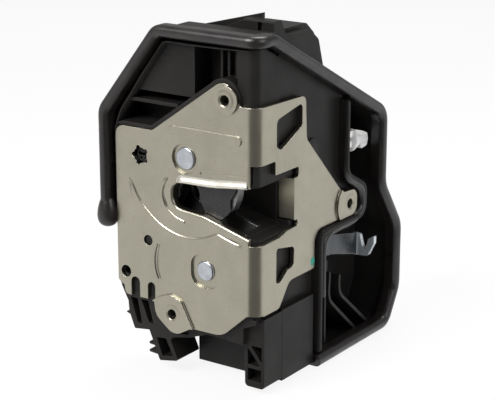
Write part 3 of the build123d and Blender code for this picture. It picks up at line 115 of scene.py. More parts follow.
def bumpOf(mat, height, strength, distance, below=None):
    tree = mat.node_tree
    node = tree.nodes.new("ShaderNodeBump")
    node.inputs["Strength"].default_value = strength
    node.inputs["Distance"].default_value = distance
    tree.links.new(height, node.inputs["Height"])
    if below is not None:
        tree.links.new(below, node.inputs["Normal"])
    return node.outputs["Normal"]


# Sharp edges: how fine they are rounded, and between which turns of the surface they go from clean to paler,
# which is partly wear and partly painted highlight
edgeFinish = {"samples": 6, "cleanAt": 0.99, "wearAndHighlightAt": 0.86}


def softEdge(mat, radius):
    # rounds sharp edges by radius millimetres, and says how near a point lies to one; the finishes paint
    # their edges paler by this, partly as wear and partly as painted highlight
    tree = mat.node_tree
    bevel = tree.nodes.new("ShaderNodeBevel")
    bevel.samples = edgeFinish["samples"]
    bevel.inputs["Radius"].default_value = radius * mm
    geometry = tree.nodes.new("ShaderNodeNewGeometry")
    compare = tree.nodes.new("ShaderNodeVectorMath")
    compare.operation = "DOT_PRODUCT"
    tree.links.new(bevel.outputs["Normal"], compare.inputs[0])
    tree.links.new(geometry.outputs["Normal"], compare.inputs[1])
    wearAndHighlight = rangeOf(mat, compare.outputs["Value"], 0.0, 1.0, edgeFinish["cleanAt"], edgeFinish["wearAndHighlightAt"])
    return bevel.outputs["Normal"], wearAndHighlight


def finishMaterial(mat, shader, colour, roughness, normal):
    # each is a socket, or None where the shader keeps its constant
    for name, value in (("Base Color", colour), ("Roughness", roughness), ("Normal", normal)):
        if value is not None:
            mat.node_tree.links.new(value, shader.inputs[name])
    return mat


# Zinc nickel plating of the lock plate: warm grey, faintly cloudy, with the drag lines of the press
plateFinish = {
    "colour": (0.41, 0.387, 0.312),
    "cloud": (0.36, 0.34, 0.275),
    "cloudScale": 38,
    "scratch": (0.52, 0.5, 0.43),
    "scratchScale": 700,
    "scratchStretch": (1, 1, 0.09),
    "scratchShare": 0.22,
    "scratchFade": (0.62, 0.74),
    "speck": (0.24, 0.225, 0.18),
    "speckScale": 1100,
    "speckShare": 0.5,
    "speckFade": (0.62, 0.72),
    "edge": (0.55, 0.525, 0.435),
    "edgeRadius": 0.45,
    "evenRoughness": 0.4,
    "roughness": (0.28, 0.38),
    "patchScale": 160,
    "grainScale": 2600,
    "grainStrength": 0.35,
    "dragScale": 420,
    "dragStretch": (0.08, 0.5, 1.6),
    "dragStrength": 0.12,
    "grainDepth": 0.00002,
}


def platingMaterial():
    look = plateFinish
    mat, shader = startMaterial("zincNickelPlating", look["colour"], look["evenRoughness"], 1.0)
    cloud = noiseOf(mat, look["cloudScale"], 5, roughness=0.6)
    colour = mixOf(mat, rangeOf(mat, cloud, 0, 1), look["colour"], look["cloud"])
    scratches = noiseOf(mat, look["scratchScale"], 4, look["scratchStretch"], roughness=0.6)
    scratches = rangeOf(mat, scratches, 0.0, look["scratchShare"], *look["scratchFade"])
    colour = mixOf(mat, scratches, colour, look["scratch"])
    specks = rangeOf(mat, noiseOf(mat, look["speckScale"], 3), 0.0, look["speckShare"], *look["speckFade"])
    colour = mixOf(mat, specks, colour, look["speck"])
    rounded, wearAndHighlight = softEdge(mat, look["edgeRadius"])
    # edges paler: partly wear, partly painted highlight
    colour = mixOf(mat, wearAndHighlight, colour, look["edge"])
    rough = rangeOf(mat, noiseOf(mat, look["patchScale"], 4), *look["roughness"])
    grain = noiseOf(mat, look["grainScale"], 2)
    drag = noiseOf(mat, look["dragScale"], 2, look["dragStretch"])
    normal = bumpOf(mat, grain, look["grainStrength"], look["grainDepth"], rounded)
    normal = bumpOf(mat, drag, look["dragStrength"], look["grainDepth"], normal)
    return finishMaterial(mat, shader, colour, rough, normal)


# Bare and plated metal: pins, screws, springs, turned and pressed steel
zincFinish = {
    "roughBelow": 0.06,
    "roughAbove": 0.1,
    "edgeRadius": 0.3,
    "edgeGain": 1.6,
    "patchFiner": 6,
    "grainFiner": 24,
    "grainStrength": 0.3,
    "grainDepth": 0.00002,
}
zincTones = {
    # finish: colour, duller colour, roughness, scale of its cloud
    "brightZinc": ((0.56, 0.58, 0.61), (0.42, 0.44, 0.47), 0.32, 260),
    # zinc far paler than the plating, used on the slot lip: painted highlight
    "highlightZinc": ((0.83, 0.8, 0.72), (0.72, 0.69, 0.61), 0.34, 200),
    # thread zinc far darker than the plating: painted shade inside the bore
    "shadedThreadZinc": ((0.15, 0.142, 0.122), (0.1, 0.094, 0.08), 0.4, 200),
    "oiledSteel": ((0.34, 0.34, 0.34), (0.22, 0.22, 0.215), 0.42, 140),
    "screwZinc": ((0.5, 0.5, 0.52), (0.36, 0.36, 0.37), 0.35, 300),
    "springSteel": ((0.3, 0.3, 0.31), (0.2, 0.2, 0.2), 0.33, 300),
    "motorCan": ((0.5, 0.5, 0.5), (0.38, 0.38, 0.38), 0.3, 90),
    "turnedBrass": ((0.62, 0.45, 0.18), (0.48, 0.33, 0.13), 0.28, 160),
}


def zincMaterial(name, colour, darkTone, roughness, scale):
    look = zincFinish
    mat, shader = startMaterial(name, colour, roughness, 1.0)
    tone = mixOf(mat, rangeOf(mat, noiseOf(mat, scale, 4), 0, 1), colour, darkTone)
    rough = noiseOf(mat, scale * look["patchFiner"], 3)
    rough = rangeOf(mat, rough, roughness - look["roughBelow"], roughness + look["roughAbove"])
    rounded, wearAndHighlight = softEdge(mat, look["edgeRadius"])
    # edges paler: partly wear, partly painted highlight
    tone = mixOf(mat, wearAndHighlight, tone, tuple(min(1.0, c * look["edgeGain"]) for c in colour))
    grain = noiseOf(mat, scale * look["grainFiner"], 2)
    normal = bumpOf(mat, grain, look["grainStrength"], look["grainDepth"], rounded)
    return finishMaterial(mat, shader, tone, rough, normal)


# Inner release lever: blue zinc darkened all over as painted shade, with its hook tab made bright by place
# as a painted highlight
leverFinish = {
    # both colours below are far darker than the lever's pale blue zinc: painted shade
    "darkTone": (0.11, 0.118, 0.125),
    "cloud": (0.085, 0.091, 0.097),
    # bright colour of the hook tab and the edges: painted highlight, on the edges partly wear
    "highlightAndWear": (0.66, 0.72, 0.76),
    "hookFrom": 103.4,
    "hookTo": 104.1,
    "hookMetal": 0.45,
    "cloudScale": 120,
    "evenRoughness": 0.3,
    "roughness": (0.26, 0.42),
    "patchScale": 700,
    "edgeRadius": 0.3,
    "grainScale": 2800,
    "grainStrength": 0.3,
    "grainDepth": 0.00002,
}


def leverMaterial():
    look = leverFinish
    mat, shader = startMaterial("leverZinc", look["darkTone"], look["evenRoughness"])
    tree = mat.node_tree
    place = tree.nodes.new("ShaderNodeTexCoord")
    split = tree.nodes.new("ShaderNodeSeparateXYZ")
    tree.links.new(place.outputs["Object"], split.inputs["Vector"])
    # the hook tab is made bright, and less metallic, by its place along Y: a painted highlight
    hookHighlight = rangeOf(mat, split.outputs["Y"], 0.0, 1.0, look["hookFrom"] * mm, look["hookTo"] * mm)
    cloud = rangeOf(mat, noiseOf(mat, look["cloudScale"], 4), 0, 1)
    cloudy = mixOf(mat, cloud, look["darkTone"], look["cloud"])
    tone = mixOf(mat, hookHighlight, cloudy, look["highlightAndWear"])
    metallic = rangeOf(mat, hookHighlight, 1.0, look["hookMetal"], 0.0, 1.0)
    tree.links.new(metallic, shader.inputs["Metallic"])
    rounded, wearAndHighlight = softEdge(mat, look["edgeRadius"])
    # edges take the bright hook colour: partly wear, partly painted highlight
    tone = mixOf(mat, wearAndHighlight, tone, look["highlightAndWear"])
    rough = rangeOf(mat, noiseOf(mat, look["patchScale"], 3), *look["roughness"])
    grain = noiseOf(mat, look["grainScale"], 2)
    normal = bumpOf(mat, grain, look["grainStrength"], look["grainDepth"], rounded)
    return finishMaterial(mat, shader, tone, rough, normal)


# Moulded plastic: near black with a fine eroded grain, paler at its edges, partly as rubbed wear and partly
# as painted highlight
mouldedFinish = {
    "specular": 0.17,
    "dustScale": 26,
    "edgeRadius": 0.4,
    "roughBelow": 0.05,
    "roughAbove": 0.08,
    "patchScale": 60,
    "grainScale": 2200,
    "grainStrength": 0.5,
    "grainDepth": 0.00004,
}
mouldedTones = {
    # finish: colour, dusty colour, colour of edges (rubbed wear and painted highlight), roughness
    "housingPlastic": ((0.011, 0.01, 0.0095), (0.019, 0.0175, 0.0165), (0.045, 0.042, 0.04), 0.45),
    "tubPlastic": ((0.011, 0.01, 0.0095), (0.018, 0.0168, 0.016), (0.045, 0.042, 0.04), 0.43),
    "rimPlastic": ((0.018, 0.017, 0.016), (0.028, 0.026, 0.025), (0.075, 0.07, 0.066), 0.4),
    "coverPlastic": ((0.008, 0.008, 0.008), (0.012, 0.012, 0.012), (0.028, 0.028, 0.028), 0.45),
    "camPlastic": ((0.015, 0.015, 0.0155), (0.024, 0.024, 0.025), (0.05, 0.05, 0.05), 0.4),
    "switchPlastic": ((0.02, 0.02, 0.02), (0.03, 0.03, 0.03), (0.06, 0.06, 0.06), 0.4),
}


def mouldedMaterial(name, colour, dusty, edge, roughness):
    look = mouldedFinish
    mat, shader = startMaterial(name, colour, roughness)
    shader.inputs["Specular IOR Level"].default_value = look["specular"]
    dust = noiseOf(mat, look["dustScale"], 5, roughness=0.65)
    tone = mixOf(mat, rangeOf(mat, dust, 0, 1), colour, dusty)
    rounded, wearAndHighlight = softEdge(mat, look["edgeRadius"])
    # edges paler: partly wear, partly painted highlight
    tone = mixOf(mat, wearAndHighlight, tone, edge)
    rough = noiseOf(mat, look["patchScale"], 4)
    rough = rangeOf(mat, rough, roughness - look["roughBelow"], roughness + look["roughAbove"])
    grain = noiseOf(mat, look["grainScale"], 2)
    normal = bumpOf(mat, grain, look["grainStrength"], look["grainDepth"], rounded)
    return finishMaterial(mat, shader, tone, rough, normal)


# Coat of the claw: dark glossy plastic, with pale specks in its colour as painted glints, a painted
# highlight
coatFinish = {
    "colour": (0.008, 0.008, 0.0085),
    "specular": 0.5,
    "glint": (0.16, 0.155, 0.15),
    "glintScale": 1300,
    "glintStretch": (1, 1, 0.35),
    "glintShare": 0.8,
    "glintFade": (0.58, 0.72),
    "patchScale": 120,
    "patchFade": (0.42, 0.62),
    "edge": (0.05, 0.05, 0.052),
    "edgeRadius": 0.4,
    "evenRoughness": 0.3,
    "roughness": (0.2, 0.42),
    "roughScale": 300,
    "dentScale": 800,
    "dentStrength": 0.6,
    "dentDepth": 0.00012,
}


def coatMaterial():
    look = coatFinish
    mat, shader = startMaterial("coatPlastic", look["colour"], look["evenRoughness"])
    shader.inputs["Specular IOR Level"].default_value = look["specular"]
    # pale specks mixed into the colour stand for glints: painted highlight
    glints = noiseOf(mat, look["glintScale"], 5, look["glintStretch"], roughness=0.7)
    glints = rangeOf(mat, glints, 0.0, look["glintShare"], *look["glintFade"])
    patches = rangeOf(mat, noiseOf(mat, look["patchScale"], 3), 0.0, 1.0, *look["patchFade"])
    glinting = mathOf(mat.node_tree, "MULTIPLY", glints, patches)
    tone = mixOf(mat, glinting, look["colour"], look["glint"])
    rounded, wearAndHighlight = softEdge(mat, look["edgeRadius"])
    # edges paler: partly wear, partly painted highlight
    tone = mixOf(mat, wearAndHighlight, tone, look["edge"])
    rough = rangeOf(mat, noiseOf(mat, look["roughScale"], 4), *look["roughness"])
    dents = noiseOf(mat, look["dentScale"], 4)
    normal = bumpOf(mat, dents, look["dentStrength"], look["dentDepth"], rounded)
    return finishMaterial(mat, shader, tone, rough, normal)


# Rubber: satin, brownish black on the seal, with a chalky bloom
rubberFinish = {
    "specular": 0.6,
    "bloomScale": 45,
    "bloomFade": (0.42, 0.75),
    "roughBelow": 0.07,
    "roughAbove": 0.1,
    "patchScale": 120,
    "skinScale": 900,
    "skinStrength": 0.35,
    "skinDepth": 0.00006,
}
rubberTones = {
    # finish: colour, colour of the bloom, roughness
    "sealRubber": ((0.007, 0.0052, 0.0048), (0.02, 0.0165, 0.0155), 0.32),
    "bufferRubber": ((0.014, 0.014, 0.014), (0.03, 0.03, 0.03), 0.5),
    "capRubber": ((0.0015, 0.0015, 0.0015), (0.004, 0.004, 0.004), 0.62),
}


def rubberMaterial(name, colour, bloom, roughness):
    look = rubberFinish
    mat, shader = startMaterial(name, colour, roughness)
    shader.inputs["Specular IOR Level"].default_value = look["specular"]
    chalky = noiseOf(mat, look["bloomScale"], 6, roughness=0.7)
    tone = mixOf(mat, rangeOf(mat, chalky, 0, 1, *look["bloomFade"]), colour, bloom)
    rough = noiseOf(mat, look["patchScale"], 3)
    rough = rangeOf(mat, rough, roughness - look["roughBelow"], roughness + look["roughAbove"])
    normal = bumpOf(mat, noiseOf(mat, look["skinScale"], 3), look["skinStrength"], look["skinDepth"])
    return finishMaterial(mat, shader, tone, rough, normal)


# White nylon of the knob lever and the gears: waxy, with light passing under its skin
nylonFinish = {
    "colour": (0.93, 0.93, 0.925),
    "shade": (0.87, 0.868, 0.862),
    "cloudScale": 90,
    "underSkin": 0.25,
    "skinScale": 0.001,
    "skinReach": (1.0, 0.9, 0.8),
    "evenRoughness": 0.42,
    "roughness": (0.36, 0.5),
    "patchScale": 300,
    "edgeRadius": 0.5,
    "grainScale": 1500,
    "grainStrength": 0.2,
    "grainDepth": 0.00002,
}


def nylonMaterial():
    look = nylonFinish
    mat, shader = startMaterial("whiteNylon", look["colour"], look["evenRoughness"])
    shader.inputs["Subsurface Weight"].default_value = look["underSkin"]
    shader.inputs["Subsurface Scale"].default_value = look["skinScale"]
    shader.inputs["Subsurface Radius"].default_value = look["skinReach"]
    cloud = rangeOf(mat, noiseOf(mat, look["cloudScale"], 3), 0, 1)
    tone = mixOf(mat, cloud, look["colour"], look["shade"])
    rough = rangeOf(mat, noiseOf(mat, look["patchScale"], 3), *look["roughness"])
    rounded, wearAndHighlight = softEdge(mat, look["edgeRadius"])
    grain = noiseOf(mat, look["grainScale"], 2)
    normal = bumpOf(mat, grain, look["grainStrength"], look["grainDepth"], rounded)
    return finishMaterial(mat, shader, tone, rough, normal)


# Green paint of the inspection dot
paintFinish = {
    "colour": (0.02, 0.33, 0.24),
    "shade": (0.015, 0.25, 0.18),
    "roughness": 0.35,
    "cloudScale": 900,
    "brushScale": 700,
    "brushStrength": 0.5,
    "brushDepth": 0.0001,
}


def paintMaterial():
    look = paintFinish
    mat, shader = startMaterial("greenPaint", look["colour"], look["roughness"])
    cloud = rangeOf(mat, noiseOf(mat, look["cloudScale"], 3), 0, 1)
    tone = mixOf(mat, cloud, look["colour"], look["shade"])
    normal = bumpOf(mat, noiseOf(mat, look["brushScale"], 2), look["brushStrength"], look["brushDepth"])
    return finishMaterial(mat, shader, tone, None, normal)


plating = platingMaterial()
leverZinc = leverMaterial()
metal = {name: zincMaterial(name, *tones) for name, tones in zincTones.items()}
plastic = {name: mouldedMaterial(name, *tones) for name, tones in mouldedTones.items()}
rubber = {name: rubberMaterial(name, *tones) for name, tones in rubberTones.items()}
coatPlastic = coatMaterial()
whiteNylon = nylonMaterial()
greenPaint = paintMaterial()
print("finishes made")

looks = {
    "lock_plate": plating,
    "latch_housing": plastic["housingPlastic"],
    "actuator_housing": plastic["tubPlastic"],
    "rear_cover": plastic["coverPlastic"],
    "seal": rubber["sealRubber"],
    "striker_buffer": rubber["bufferRubber"],
    "back_plate": metal["oiledSteel"],
    "claw_core": metal["oiledSteel"],
    "claw_coat": coatPlastic,
    "pawl": metal["oiledSteel"],
    "pawl_damper": rubber["bufferRubber"],
    "claw_pin": metal["brightZinc"],
    "pawl_pin": metal["brightZinc"],
    "claw_spring": metal["springSteel"],
    "pawl_spring": metal["springSteel"],
    "key_cam": plastic["camPlastic"],
    "key_crank": plastic["camPlastic"],
    "inner_release_lever": leverZinc,
    "inner_lever_pin": metal["brightZinc"],
    "lock_knob_lever": whiteNylon,
    "knob_lever_pin": metal["brightZinc"],
    "outer_release_lever": leverZinc,
    "outer_lever_pin": metal["brightZinc"],
    "motor": metal["motorCan"],
    "worm": metal["turnedBrass"],
    "worm_wheel": whiteNylon,
    "wheel_axle": metal["oiledSteel"],
    "lock_lever": whiteNylon,
    "lock_lever_pin": metal["oiledSteel"],
    "lock_microswitch": plastic["switchPlastic"],
    "contact_grid": metal["turnedBrass"],
    "connector_shell": plastic["coverPlastic"],
    "connector_blades": metal["turnedBrass"],
    "cover_screws": metal["screwZinc"],
}
for name, mat in looks.items():
    nodes[name].data.materials.clear()
    nodes[name].data.materials.append(mat)
print("nodes dressed")


# Helpers for forms that lie on the rear face or on the side face of the latch, in millimetres
def onRear(y):
    return lambda u, v, h: Vector((u, y - h, v)) * mm


def onSide(x):
    return lambda u, v, h: Vector((x + h, u, v)) * mm


def smoothPath(points, steps):
    # a soft curve through given points
    path = []
    for i in range(len(points) - 1):
        p0, p1, p2, p3 = (Vector(points[min(max(k, 0), len(points) - 1)]) for k in (i - 1, i, i + 1, i + 2))
        for j in range(steps):
            t = j / steps
            path.append(0.5 * (2 * p1 + (p2 - p0) * t + (2 * p0 - 5 * p1 + 4 * p2 - p3) * t ** 2
                               + (3 * p1 - 3 * p2 + p3 - p0) * t ** 3))
    path.append(Vector(points[-1]))
    return path


def risen(share, start, end):
    # 0 to 1 softly between start and end
    t = min(max((share - start) / (end - start), 0.0), 1.0)
    return t * t * (3 - 2 * t)


def meshPiece(name, form, mat, body):
    bmesh.ops.recalc_face_normals(form, faces=form.faces)
    mesh = bpy.data.meshes.new(name)
    form.to_mesh(mesh)
    form.free()
    for face in mesh.polygons:
        face.use_smooth = True
    mesh.materials.append(mat)
    piece = bpy.data.objects.new(name, mesh)
    bpy.context.scene.collection.objects.link(piece)
    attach(piece, body)


def skinRows(form, rows, closed):
    # faces between neighbouring rows of points; a closed row is a ring
    count = len(rows[0])
    for first, second in zip(rows, rows[1:]):
        for k in range(count if closed else count - 1):
            n = (k + 1) % count
            form.faces.new((first[k], first[n], second[n], second[k]))


def sweepForm(form, place, path, profileAt, closed):
    # profileAt gives (distance to the left of the path, height) for each share of the path
    rows = []
    for i, point in enumerate(path):
        ahead = (path[min(i + 1, len(path) - 1)] - path[max(i - 1, 0)]).normalized()
        left = Vector((-ahead.y, ahead.x))
        row = []
        for aside, height in profileAt(i / (len(path) - 1)):
            spot = point + left * aside
            row.append(form.verts.new(place(spot.x, spot.y, height)))
        rows.append(row)
    skinRows(form, rows, closed)
    if closed:
        form.faces.new(rows[0])
        form.faces.new(rows[-1])


def onCircle(centre, radius, angle):
    return centre[0] + radius * math.cos(angle), centre[1] + radius * math.sin(angle)


def latheForm(form, place, centre, profile, sides):
    # profile is (radius, height) from the middle outwards
    rows = []
    for radius, height in profile:
        row = []
        for k in range(sides):
            u, v = onCircle(centre, radius, 2 * math.pi * k / sides)
            row.append(form.verts.new(place(u, v, height)))
        rows.append(row)
    skinRows(form, rows, True)
    return rows


# Paint dot of the final inspection, on the side face of the plate
dotSizes = {
    "face": 17.6,  # all sizes here and below are in millimetres
    "spot": (48.9, -87.4),
    "radius": 1.9,
    "height": 0.25,
    "stretch": 1.15,
    # waves round its edge: how many, their size and turn
    "waves": ((3, 0.06, 0.8), (5, 0.04, 0.0)),
}


def paintDot():
    form = bmesh.new()
    bmesh.ops.create_uvsphere(form, u_segments=24, v_segments=12, radius=1.0)
    y, z = dotSizes["spot"]
    for vert in form.verts:
        angle = math.atan2(vert.co.z, vert.co.y)
        radius = dotSizes["radius"]
        for count, size, turn in dotSizes["waves"]:
            radius += dotSizes["radius"] * size * math.sin(count * angle + turn)
        vert.co = Vector((
            dotSizes["face"] + vert.co.x * dotSizes["height"],
            y + vert.co.y * radius,
            z + vert.co.z * radius * dotSizes["stretch"],
        )) * mm
    meshPiece("inspectionDot", form, greenPaint, "frame")


paintDot()
print("paint dot placed")


# Flared lip along the upper edge of the striker slot, in a zinc paler than the plating as a painted
# highlight
slotLipSizes = {
    "face": 1.2,
    "edge": ((-28.6, -44.0), (-25.6, -43.55), (-20, -43.35), (-8.4, -42.95), (2, -41.75), (9.5, -40.95),
             (11.9, -40.7)),
    "profile": ((4.0, -0.02), (3.4, 0.1), (2.8, 0.31), (2.2, 0.62), (1.7, 0.92), (1.3, 1.1), (0.95, 1.16),
                (0.6, 1.08), (0.25, 0.75), (0.05, 0.2), (-0.04, -0.6), (-0.04, -1.6)),
    "steps": 10,
    "leftRise": 0.16,
    "rightFall": 0.965,
    "endDrop": 0.75,
    "slim": 0.45,
    "slimFrom": 0.3,
}


def slotLip():
    # low and narrow at both ends
    sizes = slotLipSizes
    form = bmesh.new()

    def profileAt(share):
        fall = sizes["endDrop"] * risen(share, sizes["rightFall"], 1.0)
        lift = risen(share, 0.0, sizes["leftRise"]) * (1 - fall)
        spread = sizes["slim"] + (1 - sizes["slim"]) * lift
        row = []
        for aside, height in sizes["profile"]:
            outer = aside > sizes["slimFrom"]
            row.append((aside * spread if outer else aside, height * lift if height > 0 else height))
        return row

    path = smoothPath(sizes["edge"], sizes["steps"])
    sweepForm(form, onRear(sizes["face"]), path, profileAt, False)
    # the lip's pale zinc is a painted highlight
    meshPiece("slotLip", form, metal["highlightZinc"], "frame")


slotLip()


# Pressed steps of the rear face: the long one under the slot, the one round its end and a short ridge
stepSizes = {
    "face": 1.2,
    "slope": ((-1.0, -0.1), (-0.93, 0.03), (-0.6, 0.42), (-0.3, 0.8), (-0.12, 1.0)),  # shares of skirt, rise
    "drop": ((0.0, 0.92), (0.25, 0.5), (0.5, 0.12), (0.75, 0.01), (1.0, -0.1)),  # millimetres, share of rise
    "steps": 8,
    "riseBy": 0.06,  # shares of the line, as are the next three
    "fallFrom": 0.94,
    "widenBy": 0.16,
    "slim": (0.62, 0.8),
    "sunkUnder": 0.1,  # where it rises less than this, its edge hides in the plate
    "sunk": 0.02,
    "longStep": {
        "rise": 0.5,
        "shift": -0.8,
        "skirt": (1.3, 4.4, 1.8),
        "line": ((-55.9, -45.6), (-53.8, -49.6), (-51.5, -53.6), (-48.6, -57.4), (-44.0, -61.4),
                 (-38.9, -65.0), (-33.0, -67.6), (-26.2, -69.1), (-19.4, -69.0), (-12.7, -67.6),
                 (-5.6, -64.8), (-0.9, -65.8), (4.2, -67.2), (9.2, -68.0)),
    },
    "slotStep": {
        "rise": 0.45,
        "shift": -0.7,
        "skirt": (1.4, 2.2, 1.8),
        "line": ((-33.5, -42.8), (-35.7, -46.6), (-36.5, -50.5), (-35.8, -54.0), (-34.0, -56.8),
                 (-29.7, -60.0), (-26.1, -61.2), (-23.7, -61.7)),
    },
    "shortRidge": {
        "rise": 0.3,
        "shift": 0.0,
        "skirt": (0.8, 0.8, 0.8),
        "line": ((-39.3, -76.3), (-40.6, -80.8), (-41.0, -86.0), (-40.4, -90.5), (-39.0, -94.3)),
    },
}


def pressedStep(name):
    # its skirt rises from outside to the crest, and the drop is on the inner side
    sizes = stepSizes[name]
    start, middle, end = sizes["skirt"]
    form = bmesh.new()

    def profileAt(share):
        rise = risen(share, 0.0, stepSizes["riseBy"]) * (1 - risen(share, stepSizes["fallFrom"], 1.0))
        rise *= sizes["rise"]
        skirt = start + (middle - start) * risen(share, 0.0, stepSizes["widenBy"])
        skirt += (end - middle) * risen(share, *stepSizes["slim"])
        low = -stepSizes["sunk"] if rise < stepSizes["sunkUnder"] else 0.0
        row = [(aside * skirt, height * rise + low) for aside, height in stepSizes["slope"]]
        row += [(aside, height * rise + low) for aside, height in stepSizes["drop"]]
        return [(aside + sizes["shift"], height) for aside, height in row]

    path = smoothPath(sizes["line"], stepSizes["steps"])
    sweepForm(form, onRear(stepSizes["face"]), path, profileAt, False)
    meshPiece(name, form, plating, "frame")


for name in ("longStep", "slotStep", "shortRidge"):
    pressedStep(name)
print("slot lip and pressed steps made")


# Inner rim of the recessed top, a thin wall beside the seal
innerRimSizes = {
    "front": 2.5,
    "deep": 18.0,
    "half": 0.45,
    "soft": 0.25,
    "line": ((-66.3, -24.4), (-65.5, -20.6), (-62.5, -12.9), (-57.3, -5.7), (-50.6, 4.3), (-44.1, 12.9),
             (-37.7, 21.4), (-35.9, 22.7), (-32.2, 23.0), (-21.4, 22.9), (-9.3, 23.0), (5.5, 23.4),
             (12.0, 23.6)),
    "steps": 6,
}


def innerRim():
    half, deep, soft = (innerRimSizes[key] for key in ("half", "deep", "soft"))
    profile = [(-half, -deep), (-half, -soft), (-half + soft, 0.0)]
    profile += [(half - soft, 0.0), (half, -soft), (half, -deep)]
    form = bmesh.new()
    path = smoothPath(innerRimSizes["line"], innerRimSizes["steps"])
    sweepForm(form, onRear(innerRimSizes["front"]), path, lambda share: profile, True)
    meshPiece("innerRim", form, plastic["rimPlastic"], "frame")


innerRim()


# Rounded roll round the fixing tab, over the edge of the pocket
tabRollSizes = {
    "top": 20.0,
    "line": ((77.6, -30), (77.6, -41), (77.9, -47.5), (80.6, -52.6), (87.2, -56.4), (92.6, -60.7),
             (94.5, -66.4), (92.9, -71.4), (88, -74.7), (80.5, -75.6), (72, -75.6), (64.5, -76.2),
             (59.6, -78.6), (57.3, -83), (57.2, -92), (57.2, -108)),
    "steps": 8,
    "slim": 1.7,
    "full": 2.5,
    "swell": (0.05, 0.3),
    "sink": (0.72, 0.95),
    "sides": 20,
}


def tabRoll():
    slim, full, sides = (tabRollSizes[key] for key in ("slim", "full", "sides"))
    angles = [2 * math.pi * k / sides for k in range(sides)]
    form = bmesh.new()

    def profileAt(share):
        grown = risen(share, *tabRollSizes["swell"]) * (1 - risen(share, *tabRollSizes["sink"]))
        radius = slim + (full - slim) * grown
        return [(radius * math.cos(angle), radius * (math.sin(angle) - 1)) for angle in angles]

    path = smoothPath(tabRollSizes["line"], tabRollSizes["steps"])
    sweepForm(form, onSide(tabRollSizes["top"]), path, profileAt, True)
    meshPiece("tabRoll", form, rubber["sealRubber"], "frame")


tabRoll()
print("inner rim and roll made")


# Skirt and ball of the white lever, turned about its own arm
knobEndSizes = {
    "start": (10.7, 93.2, -36.9),
    "along": (0, 16.0, -2.4),
    "flat": 0.8,
    "sides": 32,
    "profile": ((0.0, 5.0), (0.01, 5.9), (0.08, 5.8), (0.18, 5.1), (0.3, 4.2), (0.38, 3.6), (0.44, 3.4),
                (0.6, 3.3), (0.68, 3.0), (0.73, 2.45), (0.77, 2.35), (0.82, 2.6), (0.88, 2.75), (0.94, 2.45),
                (0.98, 1.6), (1.0, 0.4)),
}


def knobEnd():
    sides = knobEndSizes["sides"]
    start = Vector(knobEndSizes["start"])
    along = Vector(knobEndSizes["along"])
    across = Vector((1, 0, 0))
    up = across.cross(along).normalized()
    form = bmesh.new()
    rows = []
    for share, radius in knobEndSizes["profile"]:
        row = []
        for k in range(sides):
            angle = 2 * math.pi * k / sides
            turned = across * math.cos(angle) * knobEndSizes["flat"] + up * math.sin(angle)
            row.append(form.verts.new((start + along * share + turned * radius) * mm))
        rows.append(row)
    skinRows(form, rows, True)
    form.faces.new(rows[0])
    form.faces.new(rows[-1])
    meshPiece("knobEnd", form, whiteNylon, "knob_lever")


knobEnd()
print("knob end made")


# Screw collars: dished entry and the thread in each bore, the thread's zinc darkened as painted shade inside
# the bore
collarSizes = {
    "entry": ((2.5, -1.0), (2.58, -0.5), (2.75, -0.12), (3.0, 0.12), (3.3, 0.25), (3.6, 0.28), (4.1, 0.2),
              (4.7, 0.08), (5.3, -0.03)),
    "entrySides": 48,
    "bore": 2.55,
    "pitch": 1.0,
    "turns": 7,
    "turnSides": 28,
    "threadStart": -0.9,
    "threadDepth": 0.32,
    "threadHalf": 0.4,
    "collars": (
        # name, face it stands on, centre
        ("upperCollar", onRear(0), (0, 0)),
        ("lowerCollar", onRear(0), (-31.7, -110.3)),
        ("sideCollar", onSide(18.8), (81.4, -65.8)),
    ),
}


def screwCollar(name, place, centre):
    sizes = collarSizes
    entry = bmesh.new()
    latheForm(entry, place, centre, sizes["entry"], sizes["entrySides"])
    meshPiece(name + "Entry", entry, plating, "frame")
    thread = bmesh.new()
    crest = sizes["bore"] - sizes["threadDepth"]
    ridge = ((sizes["bore"], -sizes["threadHalf"]), (crest, 0.0), (sizes["bore"], sizes["threadHalf"]))
    rows = []
    for k in range(sizes["turns"] * sizes["turnSides"] + 1):
        angle = 2 * math.pi * k / sizes["turnSides"]
        depth = sizes["threadStart"] - sizes["pitch"] * k / sizes["turnSides"]
        row = []
        for radius, shift in ridge:
            u, v = onCircle(centre, radius, angle)
            row.append(thread.verts.new(place(u, v, depth + shift)))
        rows.append(row)
    skinRows(thread, rows, False)
    # the thread's dark zinc is painted shade inside the bore
    meshPiece(name + "Thread", thread, metal["shadedThreadZinc"], "frame")


for name, place, centre in collarSizes["collars"]:
    screwCollar(name, place, centre)
print("screw collars made")


# Rubber cap on the round stop
stopCapSizes = {
    "face": 15.2,
    "centre": (51.6, -31.6),
    "radius": 5.2,
    "proud": 0.13,
    "middle": (0.15, 1.3),
    "rings": (1.9, 3.0, 4.1),
    "ringHalf": 0.25,
    "ringFloor": 0.03,
    "rimSoft": 0.3,
    "rimTop": 0.02,
    "rimFoot": -0.4,
    "sides": 48,
}


def stopCap():
    sizes = stopCapSizes
    proud, half, radius = (sizes[key] for key in ("proud", "ringHalf", "radius"))
    profile = [(inner, proud) for inner in sizes["middle"]]
    for ring in sizes["rings"]:
        profile += [(ring - half, proud), (ring, sizes["ringFloor"]), (ring + half, proud)]
    profile += [(radius - sizes["rimSoft"], proud), (radius, sizes["rimTop"]), (radius, sizes["rimFoot"])]
    form = bmesh.new()
    rows = latheForm(form, onSide(sizes["face"]), sizes["centre"], profile, sizes["sides"])
    form.faces.new(rows[0])
    meshPiece("stopCap", form, rubber["capRubber"], "frame")


stopCap()
print("stop cap made")


